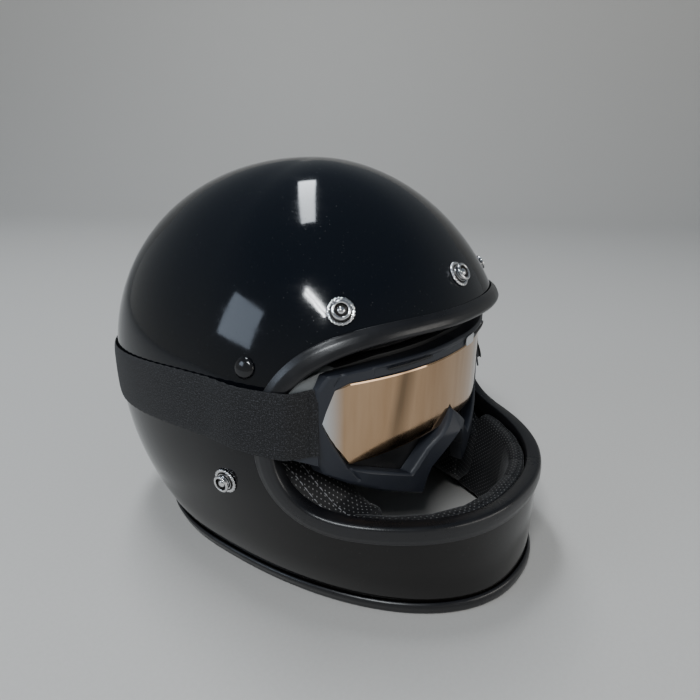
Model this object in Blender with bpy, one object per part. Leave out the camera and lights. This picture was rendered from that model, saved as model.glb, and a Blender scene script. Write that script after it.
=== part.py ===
"""Full-face motorcycle helmet: shell, rubber trims, liners, pads, snap studs, chin strap and goggles.

Frame: metres, +Z up, the wearer looks along -Y and the wearer's left is +X. The helmet rests on
its base trim at z = 0, and the origin is at the middle of the object's footprint.
"""
import math

import bmesh
import bpy
from mathutils import Matrix, Vector

# Driving dimensions of the shell's outer surface.
CENTRE_Y = 0.0033
HALF_WIDTH = 0.125
CROWN_Z = 0.262
WIDEST_Z = 0.121
FRONT_REACH = 0.1345
REAR_REACH = 0.160
CHIN_GROWTH = 0.2635
CHIN_BOW = 4.6
SIDE_TUCK = 0.22
SIDE_TUCK_BOW = 2.53
REAR_TUCK = 0.33
REAR_TUCK_BOW = 2.3
FRONT_SQUARENESS = 2.24
REAR_SQUARENESS = 2.36
BROW_BOW = 1.90
REAR_BOW = 2.12
SIDE_BOW = 1.83
SHELL_THICKNESS = 0.0045
RIM_Z = 0.0032

# Eyeport outline in side view: two quarter curves that meet at the temple, and the chin's slope.
TEMPLE_Y = CENTRE_Y - 0.060
TEMPLE_Z = 0.121
BROW_EDGE_Z = 0.1755
CHIN_EDGE_Z = 0.0680
BROW_CURVE_LENGTH = 0.062
CHIN_CURVE_LENGTH = 0.045
CHIN_CURVE_POWER = 2.5
CHIN_SLOPE = 0.03

# Rubber channel trims.
TRIM_GAP = 0.0005
TRIM_INNER_GAP = 0.0013
TRIM_WALL = 0.0028
TRIM_INNER_WALL = 0.0016
EYEPORT_LIP = 0.0088
EYEPORT_BEAD = 0.0034
BASE_LIP = 0.0052

# Liners and pads, as depths inward from the shell's outer surface.
LINER_OUTER = 0.0078
LINER_INNER = 0.0260
LINER_RIM_Z = 0.062
LINER_SIDE_Z = 0.102
LINER_EDGE_MARGIN = 0.011
CROWN_PAD_OUTER = 0.0268
CROWN_PAD_INNER = 0.0340
CROWN_PAD_RIM_Z = 0.110
CROWN_PAD_MARGIN = 0.016
PAD_OUTER = 0.0085
PAD_FRONT_Y = CENTRE_Y - 0.095
PAD_REAR_Y = CENTRE_Y + 0.034
PAD_FLOOR_Z = 0.016
PAD_TOP_Z = 0.096
PAD_JAW_HALF_GAP = 0.057
PAD_REAR_HALF_GAP = 0.071

# Snap studs and chin-strap rivets: bearing from the front in degrees, and height.
SNAPS = {
    "brow_centre": (0.0, 0.1974),
    "brow_right": (-44.3, 0.1865),
    "brow_left": (44.3, 0.1865),
    "cheek_right": (-76.7, 0.0796),
    "cheek_left": (76.7, 0.0796),
}
RIVETS = {"right": (-69.7, 0.1539), "left": (69.7, 0.1539)}
FIT_GAP = 0.0003
FLANGE_RADIUS = 0.0082
FLANGE_HEIGHT = 0.0016
STUD_RADIUS = 0.0055
STUD_NECK_RADIUS = 0.0044
STUD_CUP_RADIUS = 0.0038
STUD_FLOOR = 0.0032
STUD_HEIGHT = 0.0052
DOME_RADIUS = 0.0024
WASHER_RADIUS = 0.0058
WASHER_THICKNESS = 0.0010
SHANK_RADIUS = 0.0022
SHANK_HOLE_RADIUS = 0.0026
RIVET_RADIUS = 0.0062
RIVET_HEIGHT = 0.0029

# Goggles: the front surface is a parabola in plan, and depth runs from it toward the face.
GOGGLE_FRONT_Y = CENTRE_Y - 0.112
GOGGLE_BEND = 0.300
LENS_THICKNESS = 0.0012
FRAME_PROUD = 0.0022
FRAME_DEPTH = 0.0075
INNER_FRAME_DEPTH = 0.0150
FOAM_DEPTH = 0.0260
NOSE_FLARE = 0.0080
NOSE_HALF_WIDTH = 0.0240
NOSE_RIDGE_Z = 0.0945
NOSE_TIP_Z = 0.1080

# Elastic goggle strap.
STRAP_WIDTH = 0.0376
STRAP_THICKNESS = 0.0016
STRAP_FRONT_Z = 0.1262
STRAP_REAR_DROP = 0.021
STRAP_REST_GAP = 0.0008
STRAP_OVER_TRIM = 0.0042
STRAP_REAR_LIFT = 0.0026
STRAP_END_BEARING = 50.5
ARM_THICKNESS = 0.0024
SLIDER_CENTRE_Y = 0.010
SLIDER_HALF_BEARING = 7.5

# Chin strap.
WEB_WIDTH = 0.020
WEB_THICKNESS = 0.0016
WEB_Y = CENTRE_Y - 0.036
WEB_FOLD_Z = 0.0990
WEB_LENGTH = 0.064
WEB_PAD_GAP = 0.0030
WEB_TOP_GAP = 0.0030
LOOP_RADIUS = 0.0036
FOLD_RADIUS = 0.0014
RING_WIRE_RADIUS = 0.0011
RING_BAR_SHIFT = 0.0012


def clear_scene():
    for item in list(bpy.data.objects):
        bpy.data.objects.remove(item, do_unlink=True)


def material(name, colour, roughness, metallic=0.0):
    """A Principled BSDF material with one colour."""
    made = bpy.data.materials.new(name)
    made.use_nodes = True
    shader = made.node_tree.nodes["Principled BSDF"]
    shader.inputs["Base Color"].default_value = (*colour, 1.0)
    shader.inputs["Roughness"].default_value = roughness
    shader.inputs["Metallic"].default_value = metallic
    return made


def make_mesh(name, mesh_builder, finish):
    """Close a bmesh into a mesh with one material, in triangles because many quads are bent."""
    bmesh.ops.remove_doubles(mesh_builder, verts=mesh_builder.verts, dist=1e-6)
    bmesh.ops.triangulate(mesh_builder, faces=mesh_builder.faces)
    bmesh.ops.recalc_face_normals(mesh_builder, faces=mesh_builder.faces)
    mesh = bpy.data.meshes.new(name)
    mesh_builder.to_mesh(mesh)
    mesh_builder.free()
    mesh.shade_smooth()
    mesh.set_sharp_from_angle(angle=math.radians(32))
    mesh.materials.append(finish)
    return mesh


def place_object(name, mesh, place=None):
    """Put a mesh in the scene, at a matrix if one is given."""
    made = bpy.data.objects.new(name, mesh)
    bpy.context.scene.collection.objects.link(made)
    if place is not None:
        made.matrix_world = place
    return made


def make_object(name, mesh_builder, finish):
    return place_object(name, make_mesh(name, mesh_builder, finish))


def make_cutter(name, mesh_builder):
    cutter = make_object(name, mesh_builder, bpy.data.materials["cutter"])
    cutter.display_type = "WIRE"
    cutter.hide_render = True
    return cutter


def cut(target, cutter):
    cutting = target.modifiers.new("cut_" + cutter.name, "BOOLEAN")
    cutting.operation = "DIFFERENCE"
    cutting.solver = "EXACT"
    cutting.object = cutter


def add_loft(mesh_builder, sections, closed=False):
    """Skin a row of equal-length closed sections, capping the ends unless the row is closed."""
    rings = [[mesh_builder.verts.new(point) for point in section] for section in sections]
    count = len(rings[0])
    pairs = list(zip(rings, rings[1:]))
    if closed:
        pairs.append((rings[-1], rings[0]))
    for near, far in pairs:
        for i in range(count):
            j = (i + 1) % count
            mesh_builder.faces.new((near[i], near[j], far[j], far[i]))
    if not closed:
        mesh_builder.faces.new(rings[0][::-1])
        mesh_builder.faces.new(rings[-1])


def loft_object(name, sections, finish, closed=False):
    mesh_builder = bmesh.new()
    add_loft(mesh_builder, sections, closed)
    return make_object(name, mesh_builder, finish)


def mirrored(sections):
    """The same sections on the wearer's other side."""
    return [[Vector((-point.x, point.y, point.z)) for point in section] for section in sections]


def smooth_step(value):
    value = min(max(value, 0.0), 1.0)
    return value * value * (3.0 - 2.0 * value)


# The shell's outer surface.

def plan_reaches(height):
    """Half width, front reach and rear reach of the shell at a height."""
    drop = max(WIDEST_Z - height, 0.0) / WIDEST_Z
    side = HALF_WIDTH * (1.0 - SIDE_TUCK * drop ** SIDE_TUCK_BOW)
    front = FRONT_REACH * (1.0 + CHIN_GROWTH * (1.0 - (1.0 - min(drop, 1.0)) ** CHIN_BOW))
    rear = REAR_REACH * (1.0 - REAR_TUCK * drop ** REAR_TUCK_BOW)
    return side, front, rear


def shell_radius(bearing, height):
    """Distance from the shell's upright centre line, at a bearing from the front in radians."""
    side, front, rear = plan_reaches(height)
    ahead = math.cos(bearing)
    across = abs(math.sin(bearing))
    reach = front if ahead >= 0.0 else rear
    power = FRONT_SQUARENESS if ahead >= 0.0 else REAR_SQUARENESS
    radius = ((abs(ahead) / reach) ** power + (across / side) ** power) ** (-1.0 / power)
    if height > WIDEST_Z:
        end_bow = BROW_BOW if ahead >= 0.0 else REAR_BOW
        bow = ahead * ahead * end_bow + across * across * SIDE_BOW
        rise = min((height - WIDEST_Z) / (CROWN_Z - WIDEST_Z), 1.0)
        radius *= (1.0 - rise ** bow) ** (1.0 / bow)
    return radius


def shell_point(bearing, height):
    radius = shell_radius(bearing, height)
    return Vector((radius * math.sin(bearing), CENTRE_Y - radius * math.cos(bearing), height))


def shell_normal(bearing, height):
    step = 1e-4
    around = shell_point(bearing + step, height) - shell_point(bearing - step, height)
    upward = shell_point(bearing, height + step) - shell_point(bearing, height - step)
    return around.cross(upward).normalized()


def inset_point(bearing, height, depth):
    """A point at the given depth inward along the shell's normal."""
    return shell_point(bearing, height) - depth * shell_normal(bearing, height)


def wall_point(bearing, height, depth):
    """A point at the given depth inward, measured level, so that its height stays."""
    normal = shell_normal(bearing, height)
    level = Vector((normal.x, normal.y, 0.0)).normalized()
    return shell_point(bearing, height) - depth * level


def bearing_at(y, height):
    """Bearing of the surface point on the +X side that has this y at this height."""
    low = 0.0
    high = math.pi
    for _ in range(40):
        middle = 0.5 * (low + high)
        if shell_point(middle, height).y < y:
            low = middle
        else:
            high = middle
    return 0.5 * (low + high)


def side_wall_x(y, height, depth):
    """Half width at this y and height, less a depth taken along the normal."""
    bearing = bearing_at(y, height)
    return shell_point(bearing, height).x - depth / max(shell_normal(bearing, height).x, 0.4)


def cup(name, finish, outer_depth, inner_depth, rim_z, segments, cap_rows, wall_rows):
    """A bowl between two depths inside the shell's surface, open at its rim."""
    cap_angles = [math.pi / 2 * (row + 1) / cap_rows for row in range(cap_rows)]
    heights = [WIDEST_Z + (CROWN_Z - WIDEST_Z) * math.cos(angle) for angle in cap_angles]
    heights += [WIDEST_Z + (rim_z - WIDEST_Z) * (row + 1) / wall_rows for row in range(wall_rows)]
    bearings = [2 * math.pi * i / segments for i in range(segments)]
    mesh_builder = bmesh.new()
    rims = []
    for depth in (outer_depth, inner_depth):
        pole = mesh_builder.verts.new((0.0, CENTRE_Y, CROWN_Z - depth))
        above = None
        for height in heights:
            placed = wall_point if height == heights[-1] else inset_point
            ring = [mesh_builder.verts.new(placed(bearing, height, depth)) for bearing in bearings]
            for i in range(segments):
                j = (i + 1) % segments
                if above is None:
                    mesh_builder.faces.new((pole, ring[i], ring[j]))
                else:
                    mesh_builder.faces.new((above[i], ring[i], ring[j], above[j]))
            above = ring
        rims.append(above)
    outer_rim, inner_rim = rims
    for i in range(segments):
        j = (i + 1) % segments
        mesh_builder.faces.new((outer_rim[i], inner_rim[i], inner_rim[j], outer_rim[j]))
    return make_object(name, mesh_builder, finish)


# The eyeport.

def eyeport_outline(margin=0.0, brow_steps=14, chin_steps=12):
    """Side-view points (y, z) from the brow back to the temple and forward to the chin."""
    brow_height = BROW_EDGE_Z - TEMPLE_Z + margin
    chin_height = TEMPLE_Z - CHIN_EDGE_Z + margin
    brow_length = BROW_CURVE_LENGTH + margin
    chin_length = CHIN_CURVE_LENGTH + margin
    points = []
    for i in range(brow_steps + 1):
        angle = math.pi / 2 * (1.0 - i / brow_steps)
        y = TEMPLE_Y + margin - brow_length * (1.0 - math.cos(angle))
        points.append((y, TEMPLE_Z + brow_height * math.sin(angle)))
    for i in range(1, chin_steps + 1):
        angle = math.pi / 2 * i / chin_steps
        y = TEMPLE_Y + margin - chin_length * (1.0 - math.cos(angle))
        points.append((y, TEMPLE_Z - chin_height * math.sin(angle) ** (2.0 / CHIN_CURVE_POWER)))
    return points


def brow_edge_height(y):
    """Height of the eyeport's upper edge at this y."""
    share = min((TEMPLE_Y - y) / BROW_CURVE_LENGTH, 1.0)
    return TEMPLE_Z + (BROW_EDGE_Z - TEMPLE_Z) * math.sqrt(1.0 - (1.0 - share) ** 2)


def chin_edge_height(y):
    """Height of the eyeport's lower edge at this y, which falls gently forward of its curve."""
    share = (TEMPLE_Y - y) / CHIN_CURVE_LENGTH
    if share >= 1.0:
        return CHIN_EDGE_Z - CHIN_SLOPE * CHIN_CURVE_LENGTH * (share - 1.0)
    turn = math.sqrt(1.0 - (1.0 - share) ** 2)
    return TEMPLE_Z - (TEMPLE_Z - CHIN_EDGE_Z) * turn ** (2.0 / CHIN_CURVE_POWER)


def side_prism(name, outline):
    """A cutter that runs right across the helmet, from a side-view outline."""
    half = HALF_WIDTH + 0.04
    mesh_builder = bmesh.new()
    add_loft(mesh_builder, [[Vector((x, y, z)) for y, z in outline] for x in (-half, half)])
    return make_cutter(name, mesh_builder)


def pad_eyeport_cutter():
    """Takes away the crown pad at the eyeport, grown by the pad's margin."""
    front_y = CENTRE_Y - 0.250
    outline = eyeport_outline(CROWN_PAD_MARGIN)
    outline.append((front_y, chin_edge_height(front_y) - CROWN_PAD_MARGIN))
    outline.append((front_y, BROW_EDGE_Z + CROWN_PAD_MARGIN))
    return side_prism("pad_eyeport_cut", outline)


def liner_front_cutter():
    """Takes away the liner at the eyeport and all of it over the cheek pads and the chin."""
    front_y = CENTRE_Y - 0.250
    outline = [(y, z) for y, z in eyeport_outline(LINER_EDGE_MARGIN) if z > LINER_SIDE_Z + 0.004]
    outline.append((outline[-1][0], LINER_SIDE_Z))
    outline.append((PAD_REAR_Y + 0.002, LINER_SIDE_Z))
    outline.append((PAD_REAR_Y + 0.002, 0.0))
    outline.append((front_y, 0.0))
    outline.append((front_y, BROW_EDGE_Z + LINER_EDGE_MARGIN))
    return side_prism("liner_front_cut", outline)


def eyeport_path():
    """Bearings and heights once round the eyeport's edge, from the brow's middle."""
    front_bearing = math.radians(50)
    steps = 10
    brow = []
    chin = []
    for i in range(steps + 1):
        bearing = front_bearing * i / steps
        for row, edge_height in ((brow, brow_edge_height), (chin, chin_edge_height)):
            height = edge_height(CENTRE_Y - FRONT_REACH)
            for _ in range(12):
                height = edge_height(shell_point(bearing, height).y)
            row.append((bearing, height))
    temple = [(bearing_at(y, z), z) for y, z in eyeport_outline()]
    temple = [(bearing, z) for bearing, z in temple if bearing > front_bearing + math.radians(2)]
    left = brow + temple + chin[::-1]
    right = [(-bearing, height) for bearing, height in left[1:-1]]
    return left + right[::-1]


def eyeport_cutter():
    """Takes away the shell's eyeport, square to the shell's surface all round the edge."""
    ahead_y = CENTRE_Y - 0.250
    within_y = CENTRE_Y - 0.040
    rings = [[], [], [], []]
    for bearing, height in eyeport_path():
        edge = shell_point(bearing, height)
        reach = 0.014 * shell_normal(bearing, height)
        outside = edge + reach
        rings[0].append(Vector((outside.x, ahead_y, outside.z)))
        rings[1].append(outside)
        rings[2].append(edge - reach)
        rings[3].append(Vector((0.4 * edge.x, within_y, TEMPLE_Z + 0.8 * (edge.z - TEMPLE_Z))))
    mesh_builder = bmesh.new()
    add_loft(mesh_builder, rings)
    return make_cutter("eyeport_cut", mesh_builder)


def channel_profile(lip, bead):
    """Rubber U-channel: (outward, past the shell's edge) points, clockwise."""
    outer = TRIM_GAP
    inner = -SHELL_THICKNESS - TRIM_INNER_GAP
    return [
        (outer, TRIM_GAP),
        (outer, -lip),
        (outer + TRIM_WALL, -lip + 0.0020),
        (outer + TRIM_WALL, bead - 0.0018),
        (outer + 0.4 * TRIM_WALL, bead),
        (inner, bead),
        (inner - TRIM_INNER_WALL, bead - 0.0012),
        (inner - TRIM_INNER_WALL, -0.8 * lip),
        (inner, -0.8 * lip),
        (inner, TRIM_GAP),
    ]


def eyeport_trim(finish):
    path = eyeport_path()
    places = [shell_point(bearing, height) for bearing, height in path]
    profile = channel_profile(EYEPORT_LIP, EYEPORT_BEAD)
    sections = []
    for i, (bearing, height) in enumerate(path):
        tangent = (places[(i + 1) % len(path)] - places[i - 1]).normalized()
        outward = shell_normal(bearing, height)
        past_edge = tangent.cross(outward).normalized()
        sections.append([places[i] + out * outward + past * past_edge for out, past in profile])
    return loft_object("eyeport_trim", sections, finish, closed=True)


def base_trim(finish):
    """The same channel round the bottom edge, its lips following the shell's slope."""
    steps = 54
    sections = []
    for i in range(steps):
        bearing = 2 * math.pi * i / steps
        slope = 1.0 / shell_normal(bearing, RIM_Z).xy.length
        section = []
        for out, past in channel_profile(BASE_LIP, RIM_Z):
            side = wall_point(bearing, max(RIM_Z - past, RIM_Z), -out * slope)
            section.append(Vector((side.x, side.y, RIM_Z - past)))
        sections.append(section)
    return loft_object("base_trim", sections, finish, closed=True)


def frame_at(bearing_degrees, height):
    """Matrix at a stud: origin on the shell's surface, local Z outward, local Y level-ish up."""
    bearing = math.radians(bearing_degrees)
    outward = shell_normal(bearing, height)
    across = Vector((0.0, 0.0, 1.0)).cross(outward).normalized()
    up = outward.cross(across)
    turn = Matrix((across, up, outward)).transposed().to_4x4()
    return Matrix.Translation(shell_point(bearing, height)) @ turn


def ring_point(radius, height, step, segments):
    angle = 2 * math.pi * step / segments
    return Vector((radius * math.cos(angle), radius * math.sin(angle), height))


def turned_ring(name, profile, segments, finish, knurl=0.0):
    """A turned ring about Z from (radius, height) points; a knurl pulls in every other widest corner."""
    widest = max(radius for radius, _ in profile)
    sections = []
    for i in range(segments):
        dip = knurl if i % 2 else 0.0
        sections.append([
            ring_point(radius - (dip if radius == widest else 0.0), height, i, segments)
            for radius, height in profile
        ])
    mesh_builder = bmesh.new()
    add_loft(mesh_builder, sections, closed=True)
    return make_mesh(name, mesh_builder, finish)


def add_turned(mesh_builder, profile, segments, place=Matrix()):
    """A turned solid about Z whose first and last (radius, height) points lie on the axis."""
    ends = [mesh_builder.verts.new(place @ Vector((0.0, 0.0, profile[k][1]))) for k in (0, -1)]
    rings = []
    for radius, height in profile[1:-1]:
        rings.append([
            mesh_builder.verts.new(place @ ring_point(radius, height, i, segments)) for i in range(segments)
        ])
    for i in range(segments):
        j = (i + 1) % segments
        mesh_builder.faces.new((ends[0], rings[0][j], rings[0][i]))
        mesh_builder.faces.new((ends[1], rings[-1][i], rings[-1][j]))
        for near, far in zip(rings, rings[1:]):
            mesh_builder.faces.new((near[i], near[j], far[j], far[i]))


def turned_solid(name, profile, segments, finish):
    mesh_builder = bmesh.new()
    add_turned(mesh_builder, profile, segments)
    return make_mesh(name, mesh_builder, finish)


def snaps(chrome, steel):
    """Snap studs: knurled flange, rolled stud, centre dome, and the rivet shank with its washer."""
    flange_bore = STUD_NECK_RADIUS + FIT_GAP
    flange = [
        (flange_bore, FIT_GAP), (FLANGE_RADIUS, FIT_GAP), (FLANGE_RADIUS - 0.0006, 0.0014),
        (flange_bore, FLANGE_HEIGHT),
    ]
    bore = SHANK_RADIUS + FIT_GAP
    stud = [
        (bore, FIT_GAP), (STUD_NECK_RADIUS, FIT_GAP), (STUD_NECK_RADIUS, STUD_HEIGHT - 0.0018),
        (STUD_RADIUS, STUD_HEIGHT - 0.0009), (STUD_RADIUS - 0.0006, STUD_HEIGHT),
        (STUD_CUP_RADIUS, STUD_HEIGHT), (STUD_CUP_RADIUS - 0.0004, STUD_FLOOR), (bore, STUD_FLOOR - 0.0002),
    ]
    dome = [
        (0.0, STUD_FLOOR + 0.0001), (DOME_RADIUS, STUD_FLOOR + 0.0001), (0.92 * DOME_RADIUS, 0.0042),
        (0.54 * DOME_RADIUS, 0.0050), (0.0, 0.0053),
    ]
    washer_out = -SHELL_THICKNESS - 0.0010
    washer_in = washer_out - WASHER_THICKNESS
    shank_top = STUD_FLOOR - FIT_GAP
    shank = [
        (0.0, washer_in), (WASHER_RADIUS, washer_in), (WASHER_RADIUS, washer_out),
        (SHANK_RADIUS, washer_out), (SHANK_RADIUS, shank_top), (0.0, shank_top),
    ]
    meshes = {
        "snap_flange": turned_ring("snap_flange", flange, 24, chrome, knurl=0.0005),
        "snap_stud": turned_ring("snap_stud", stud, 12, chrome),
        "snap_dome": turned_solid("snap_dome", dome, 8, chrome),
        "snap_back": turned_solid("snap_back", shank, 8, steel),
    }
    for spot, (bearing, height) in SNAPS.items():
        for piece, mesh in meshes.items():
            place_object(piece + "_" + spot, mesh, frame_at(bearing, height))


def stud_drills():
    """Cutter for the shank holes through the shell."""
    mesh_builder = bmesh.new()
    drill = [(0.0, -0.012), (SHANK_HOLE_RADIUS, -0.012), (SHANK_HOLE_RADIUS, 0.004), (0.0, 0.004)]
    for bearing, height in list(SNAPS.values()) + list(RIVETS.values()):
        add_turned(mesh_builder, drill, 12, frame_at(bearing, height))
    return make_cutter("stud_drills", mesh_builder)


def hanger_plate(half_width, half_height, low, high, finish):
    """Rounded-square plate with a round hole for the rivet's shank."""
    sections = []
    for i in range(16):
        angle = 2 * math.pi * i / 16
        x = half_width * math.copysign(abs(math.cos(angle)) ** 0.5, math.cos(angle))
        y = half_height * math.copysign(abs(math.sin(angle)) ** 0.5, math.sin(angle))
        hole = ring_point(SHANK_HOLE_RADIUS, 0.0, i, 16)
        sections.append([
            Vector((x, y, low)), Vector((x, y, high)),
            Vector((hole.x, hole.y, high)), Vector((hole.x, hole.y, low)),
        ])
    mesh_builder = bmesh.new()
    add_loft(mesh_builder, sections, closed=True)
    return make_mesh("strap_hanger", mesh_builder, finish)


def strap_rivets(black, steel):
    """Domed rivets through the shell, and the hanger plates that their shanks hold inside."""
    plate_out = -SHELL_THICKNESS - 0.0015
    plate_in = plate_out - 0.0012
    dome = [
        (0.0, plate_in - 0.0004), (SHANK_RADIUS, plate_in - 0.0004), (SHANK_RADIUS, FIT_GAP),
        (RIVET_RADIUS, FIT_GAP), (0.92 * RIVET_RADIUS, 0.0014), (0.6 * RIVET_RADIUS, 0.0024),
        (0.0, RIVET_HEIGHT),
    ]
    rivet = turned_solid("strap_rivet", dome, 16, black)
    plate = hanger_plate(0.5 * WEB_WIDTH + 0.001, 0.009, plate_in, plate_out, steel)
    for side, (bearing, height) in RIVETS.items():
        place_object("strap_rivet_" + side, rivet, frame_at(bearing, height))
        place_object("strap_hanger_" + side, plate, frame_at(bearing, height))


# Liners and pads.

def web_channel_cutter():
    """Channels in the liner's outer face that the chin-strap webs run down."""
    mesh_builder = bmesh.new()
    ys = (WEB_Y - 0.5 * WEB_WIDTH - 0.0065, WEB_Y, WEB_Y + 0.5 * WEB_WIDTH + 0.0030)
    sections = []
    for height in (LINER_SIDE_Z - 0.006, 0.115, 0.130, 0.145, 0.158, 0.168):
        outer = [Vector((side_wall_x(y, height, 0.0), y, height)) for y in ys]
        inner = [Vector((side_wall_x(y, height, 0.0125), y, height)) for y in ys[::-1]]
        sections.append(outer + inner)
    add_loft(mesh_builder, sections)
    add_loft(mesh_builder, mirrored(sections))
    return make_cutter("web_channel_cut", mesh_builder)


def sweep_bearings(first, last, steps, section_at):
    """Sections at even bearings in degrees."""
    return [section_at(math.radians(first + (last - first) * i / steps)) for i in range(steps + 1)]


def chin_liner(finish):
    def section(bearing):
        corners = ((0.0070, 0.012), (0.0086, 0.008), (0.0143, 0.008), (0.0143, 0.034), (0.0143, 0.055),
                   (0.0070, 0.055), (0.0070, 0.034))
        return [wall_point(bearing, height, depth) for depth, height in corners]
    return loft_object("chin_liner", sweep_bearings(-38, 38, 14, section), finish)


def chin_lining(finish):
    """Padded lining with a lip over the chin liner's top."""
    def section(bearing):
        corners = (
            (0.0150, 0.008), (0.0205, 0.008), (0.0205, 0.034), (0.0205, 0.056), (0.0190, 0.063),
            (0.0150, 0.0655), (0.0084, 0.0655), (0.0084, 0.0558), (0.0150, 0.0558), (0.0150, 0.034),
        )
        return [wall_point(bearing, height, depth) for depth, height in corners]
    return loft_object("chin_lining", sweep_bearings(-38, 38, 14, section), finish)


def neck_roll(finish):
    def section(bearing):
        corners = (
            (0.0080, 0.012), (0.0096, 0.008), (0.0180, 0.009), (0.0240, 0.020), (0.0250, 0.040),
            (0.0210, 0.054), (0.0080, 0.057), (0.0080, 0.034),
        )
        return [wall_point(bearing, height, depth) for depth, height in corners]
    return loft_object("neck_roll", sweep_bearings(112, 248, 16, section), finish)


def pad_top_z(y):
    """Top of a cheek pad: low under the front of the eyeport's edge, full height behind it."""
    return 0.058 + (PAD_TOP_Z - 0.058) * smooth_step((y - PAD_FRONT_Y - 0.008) / 0.036)


def pad_inner_x(y):
    """Half the gap between the two cheek pads, which widens toward the back."""
    share = (y - PAD_FRONT_Y) / (PAD_REAR_Y - PAD_FRONT_Y)
    return PAD_JAW_HALF_GAP + (PAD_REAR_HALF_GAP - PAD_JAW_HALF_GAP) * share


def cheek_pad_sections():
    steps = 12
    sections = []
    for i in range(steps + 1):
        y = PAD_FRONT_Y + (PAD_REAR_Y - PAD_FRONT_Y) * i / steps
        top = pad_top_z(y)
        inner = pad_inner_x(y)
        heights = [PAD_FLOOR_Z + (top - PAD_FLOOR_Z) * k / 3 for k in range(4)]
        wall = [Vector((side_wall_x(y, height, PAD_OUTER), y, height)) for height in heights]
        face = [
            Vector((inner + 0.008, y, top)),
            Vector((inner, y, top - 0.010)),
            Vector((inner, y, PAD_FLOOR_Z + 0.008)),
            Vector((inner + 0.006, y, PAD_FLOOR_Z)),
        ]
        sections.append(wall + face)
    return sections


# Chin strap.

def web_roots(finish):
    """Fixed length of each web: down the channel from the hanger, then in over the cheek pad."""
    outline = [(side_wall_x(WEB_Y, height, 0.0084), height) for height in (0.143, 0.130, 0.115, 0.104)]
    outline.append((outline[-1][0] - 0.0012, WEB_FOLD_Z + 0.0014))
    outline.append((outline[-2][0] - 0.0050, WEB_FOLD_Z))
    outline.append((pad_inner_x(WEB_Y) - 0.0010, WEB_FOLD_Z))
    for name, side in (("chin_strap_root_right", -1), ("chin_strap_root_left", 1)):
        mesh_builder = bmesh.new()
        add_ribbon(mesh_builder, outline, 0.0, 0.5 * WEB_WIDTH, side)
        make_object(name, mesh_builder, finish)


def web_pivot():
    """Top of a hanging web (x, z), where it turns on the end of its fixed length."""
    return pad_inner_x(WEB_Y) - WEB_PAD_GAP, WEB_FOLD_Z - WEB_TOP_GAP


def chin_straps(finish):
    """Hanging webs: the left ends in a loop for the D-rings, the right is folded back on itself."""
    pivot_x, top = web_pivot()
    half = 0.5 * WEB_WIDTH
    foot = top - WEB_LENGTH
    loop = [(0.0, top), (0.0, foot + 0.004)]
    for i in range(9):
        angle = math.pi * 0.5 + 2 * math.pi * 0.84 * i / 8
        x = LOOP_RADIUS * (math.sin(angle) - 1.0)
        loop.append((x, foot + LOOP_RADIUS * math.cos(angle)))
    fold = [(0.0, top), (0.0, foot)]
    for i in range(1, 6):
        angle = math.pi * i / 6
        x = FOLD_RADIUS * (math.cos(angle) - 1.0)
        fold.append((x, foot - FOLD_RADIUS * math.sin(angle)))
    fold += [(-2 * FOLD_RADIUS, foot), (-2 * FOLD_RADIUS, top - 0.022)]
    for name, outline, side in (("chin_strap_left", loop, 1), ("chin_strap_right", fold, -1)):
        mesh_builder = bmesh.new()
        add_ribbon(mesh_builder, outline, pivot_x, half, side)
        make_object(name, mesh_builder, finish)


def add_ribbon(mesh_builder, outline, x_offset, half_width, mirror=1):
    """A web of even thickness along an (x, z) outline, on the left or, with mirror -1, the right."""
    count = len(outline)
    sections = []
    for i, (x, z) in enumerate(outline):
        before = outline[max(i - 1, 0)]
        after = outline[min(i + 1, count - 1)]
        run = Vector((after[0] - before[0], after[1] - before[1])).normalized()
        side = Vector((run.y, -run.x)) * 0.5 * WEB_THICKNESS
        corners = ((side, -half_width), (side, half_width), (-side, half_width), (-side, -half_width))
        sections.append([
            Vector((mirror * (x_offset + x + s.x), WEB_Y + y, z + s.y)) for s, y in corners
        ])
    add_loft(mesh_builder, sections)


def ring_bars():
    """Centre (x, z) of each D-ring's bar inside the left web's loop."""
    pivot_x, top = web_pivot()
    centre = pivot_x - LOOP_RADIUS
    bar_z = top - WEB_LENGTH
    return {"outer": (centre + RING_BAR_SHIFT, bar_z), "inner": (centre - RING_BAR_SHIFT, bar_z)}


def d_rings(steel):
    """Two nesting D-rings: each has a straight bar in the web's loop and a bowed wire below."""
    sizes = {"outer": (0.5 * WEB_WIDTH + 0.0056, 0.0215), "inner": (0.5 * WEB_WIDTH + 0.0018, 0.0165)}
    for name, (bar_x, bar_z) in ring_bars().items():
        half_bar, drop = sizes[name]
        path = [Vector((0.0, -half_bar, 0.0)), Vector((0.0, half_bar, 0.0))]
        for i in range(1, 10):
            angle = math.pi * i / 10
            path.append(Vector((0.0, half_bar * math.cos(angle), -drop * math.sin(angle) ** 0.8)))
        count = len(path)
        sections = []
        for i, point in enumerate(path):
            run = (path[(i + 1) % count] - path[i - 1]).normalized()
            side = run.cross(Vector((1.0, 0.0, 0.0))).normalized()
            centre = point + Vector((bar_x, WEB_Y, bar_z))
            section = []
            for k in range(6):
                angle = math.pi * k / 3
                across = math.cos(angle) * Vector((1.0, 0.0, 0.0)) + math.sin(angle) * side
                section.append(centre + RING_WIRE_RADIUS * across)
            sections.append(section)
        loft_object("d_ring_" + name, sections, steel, closed=True)


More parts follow.
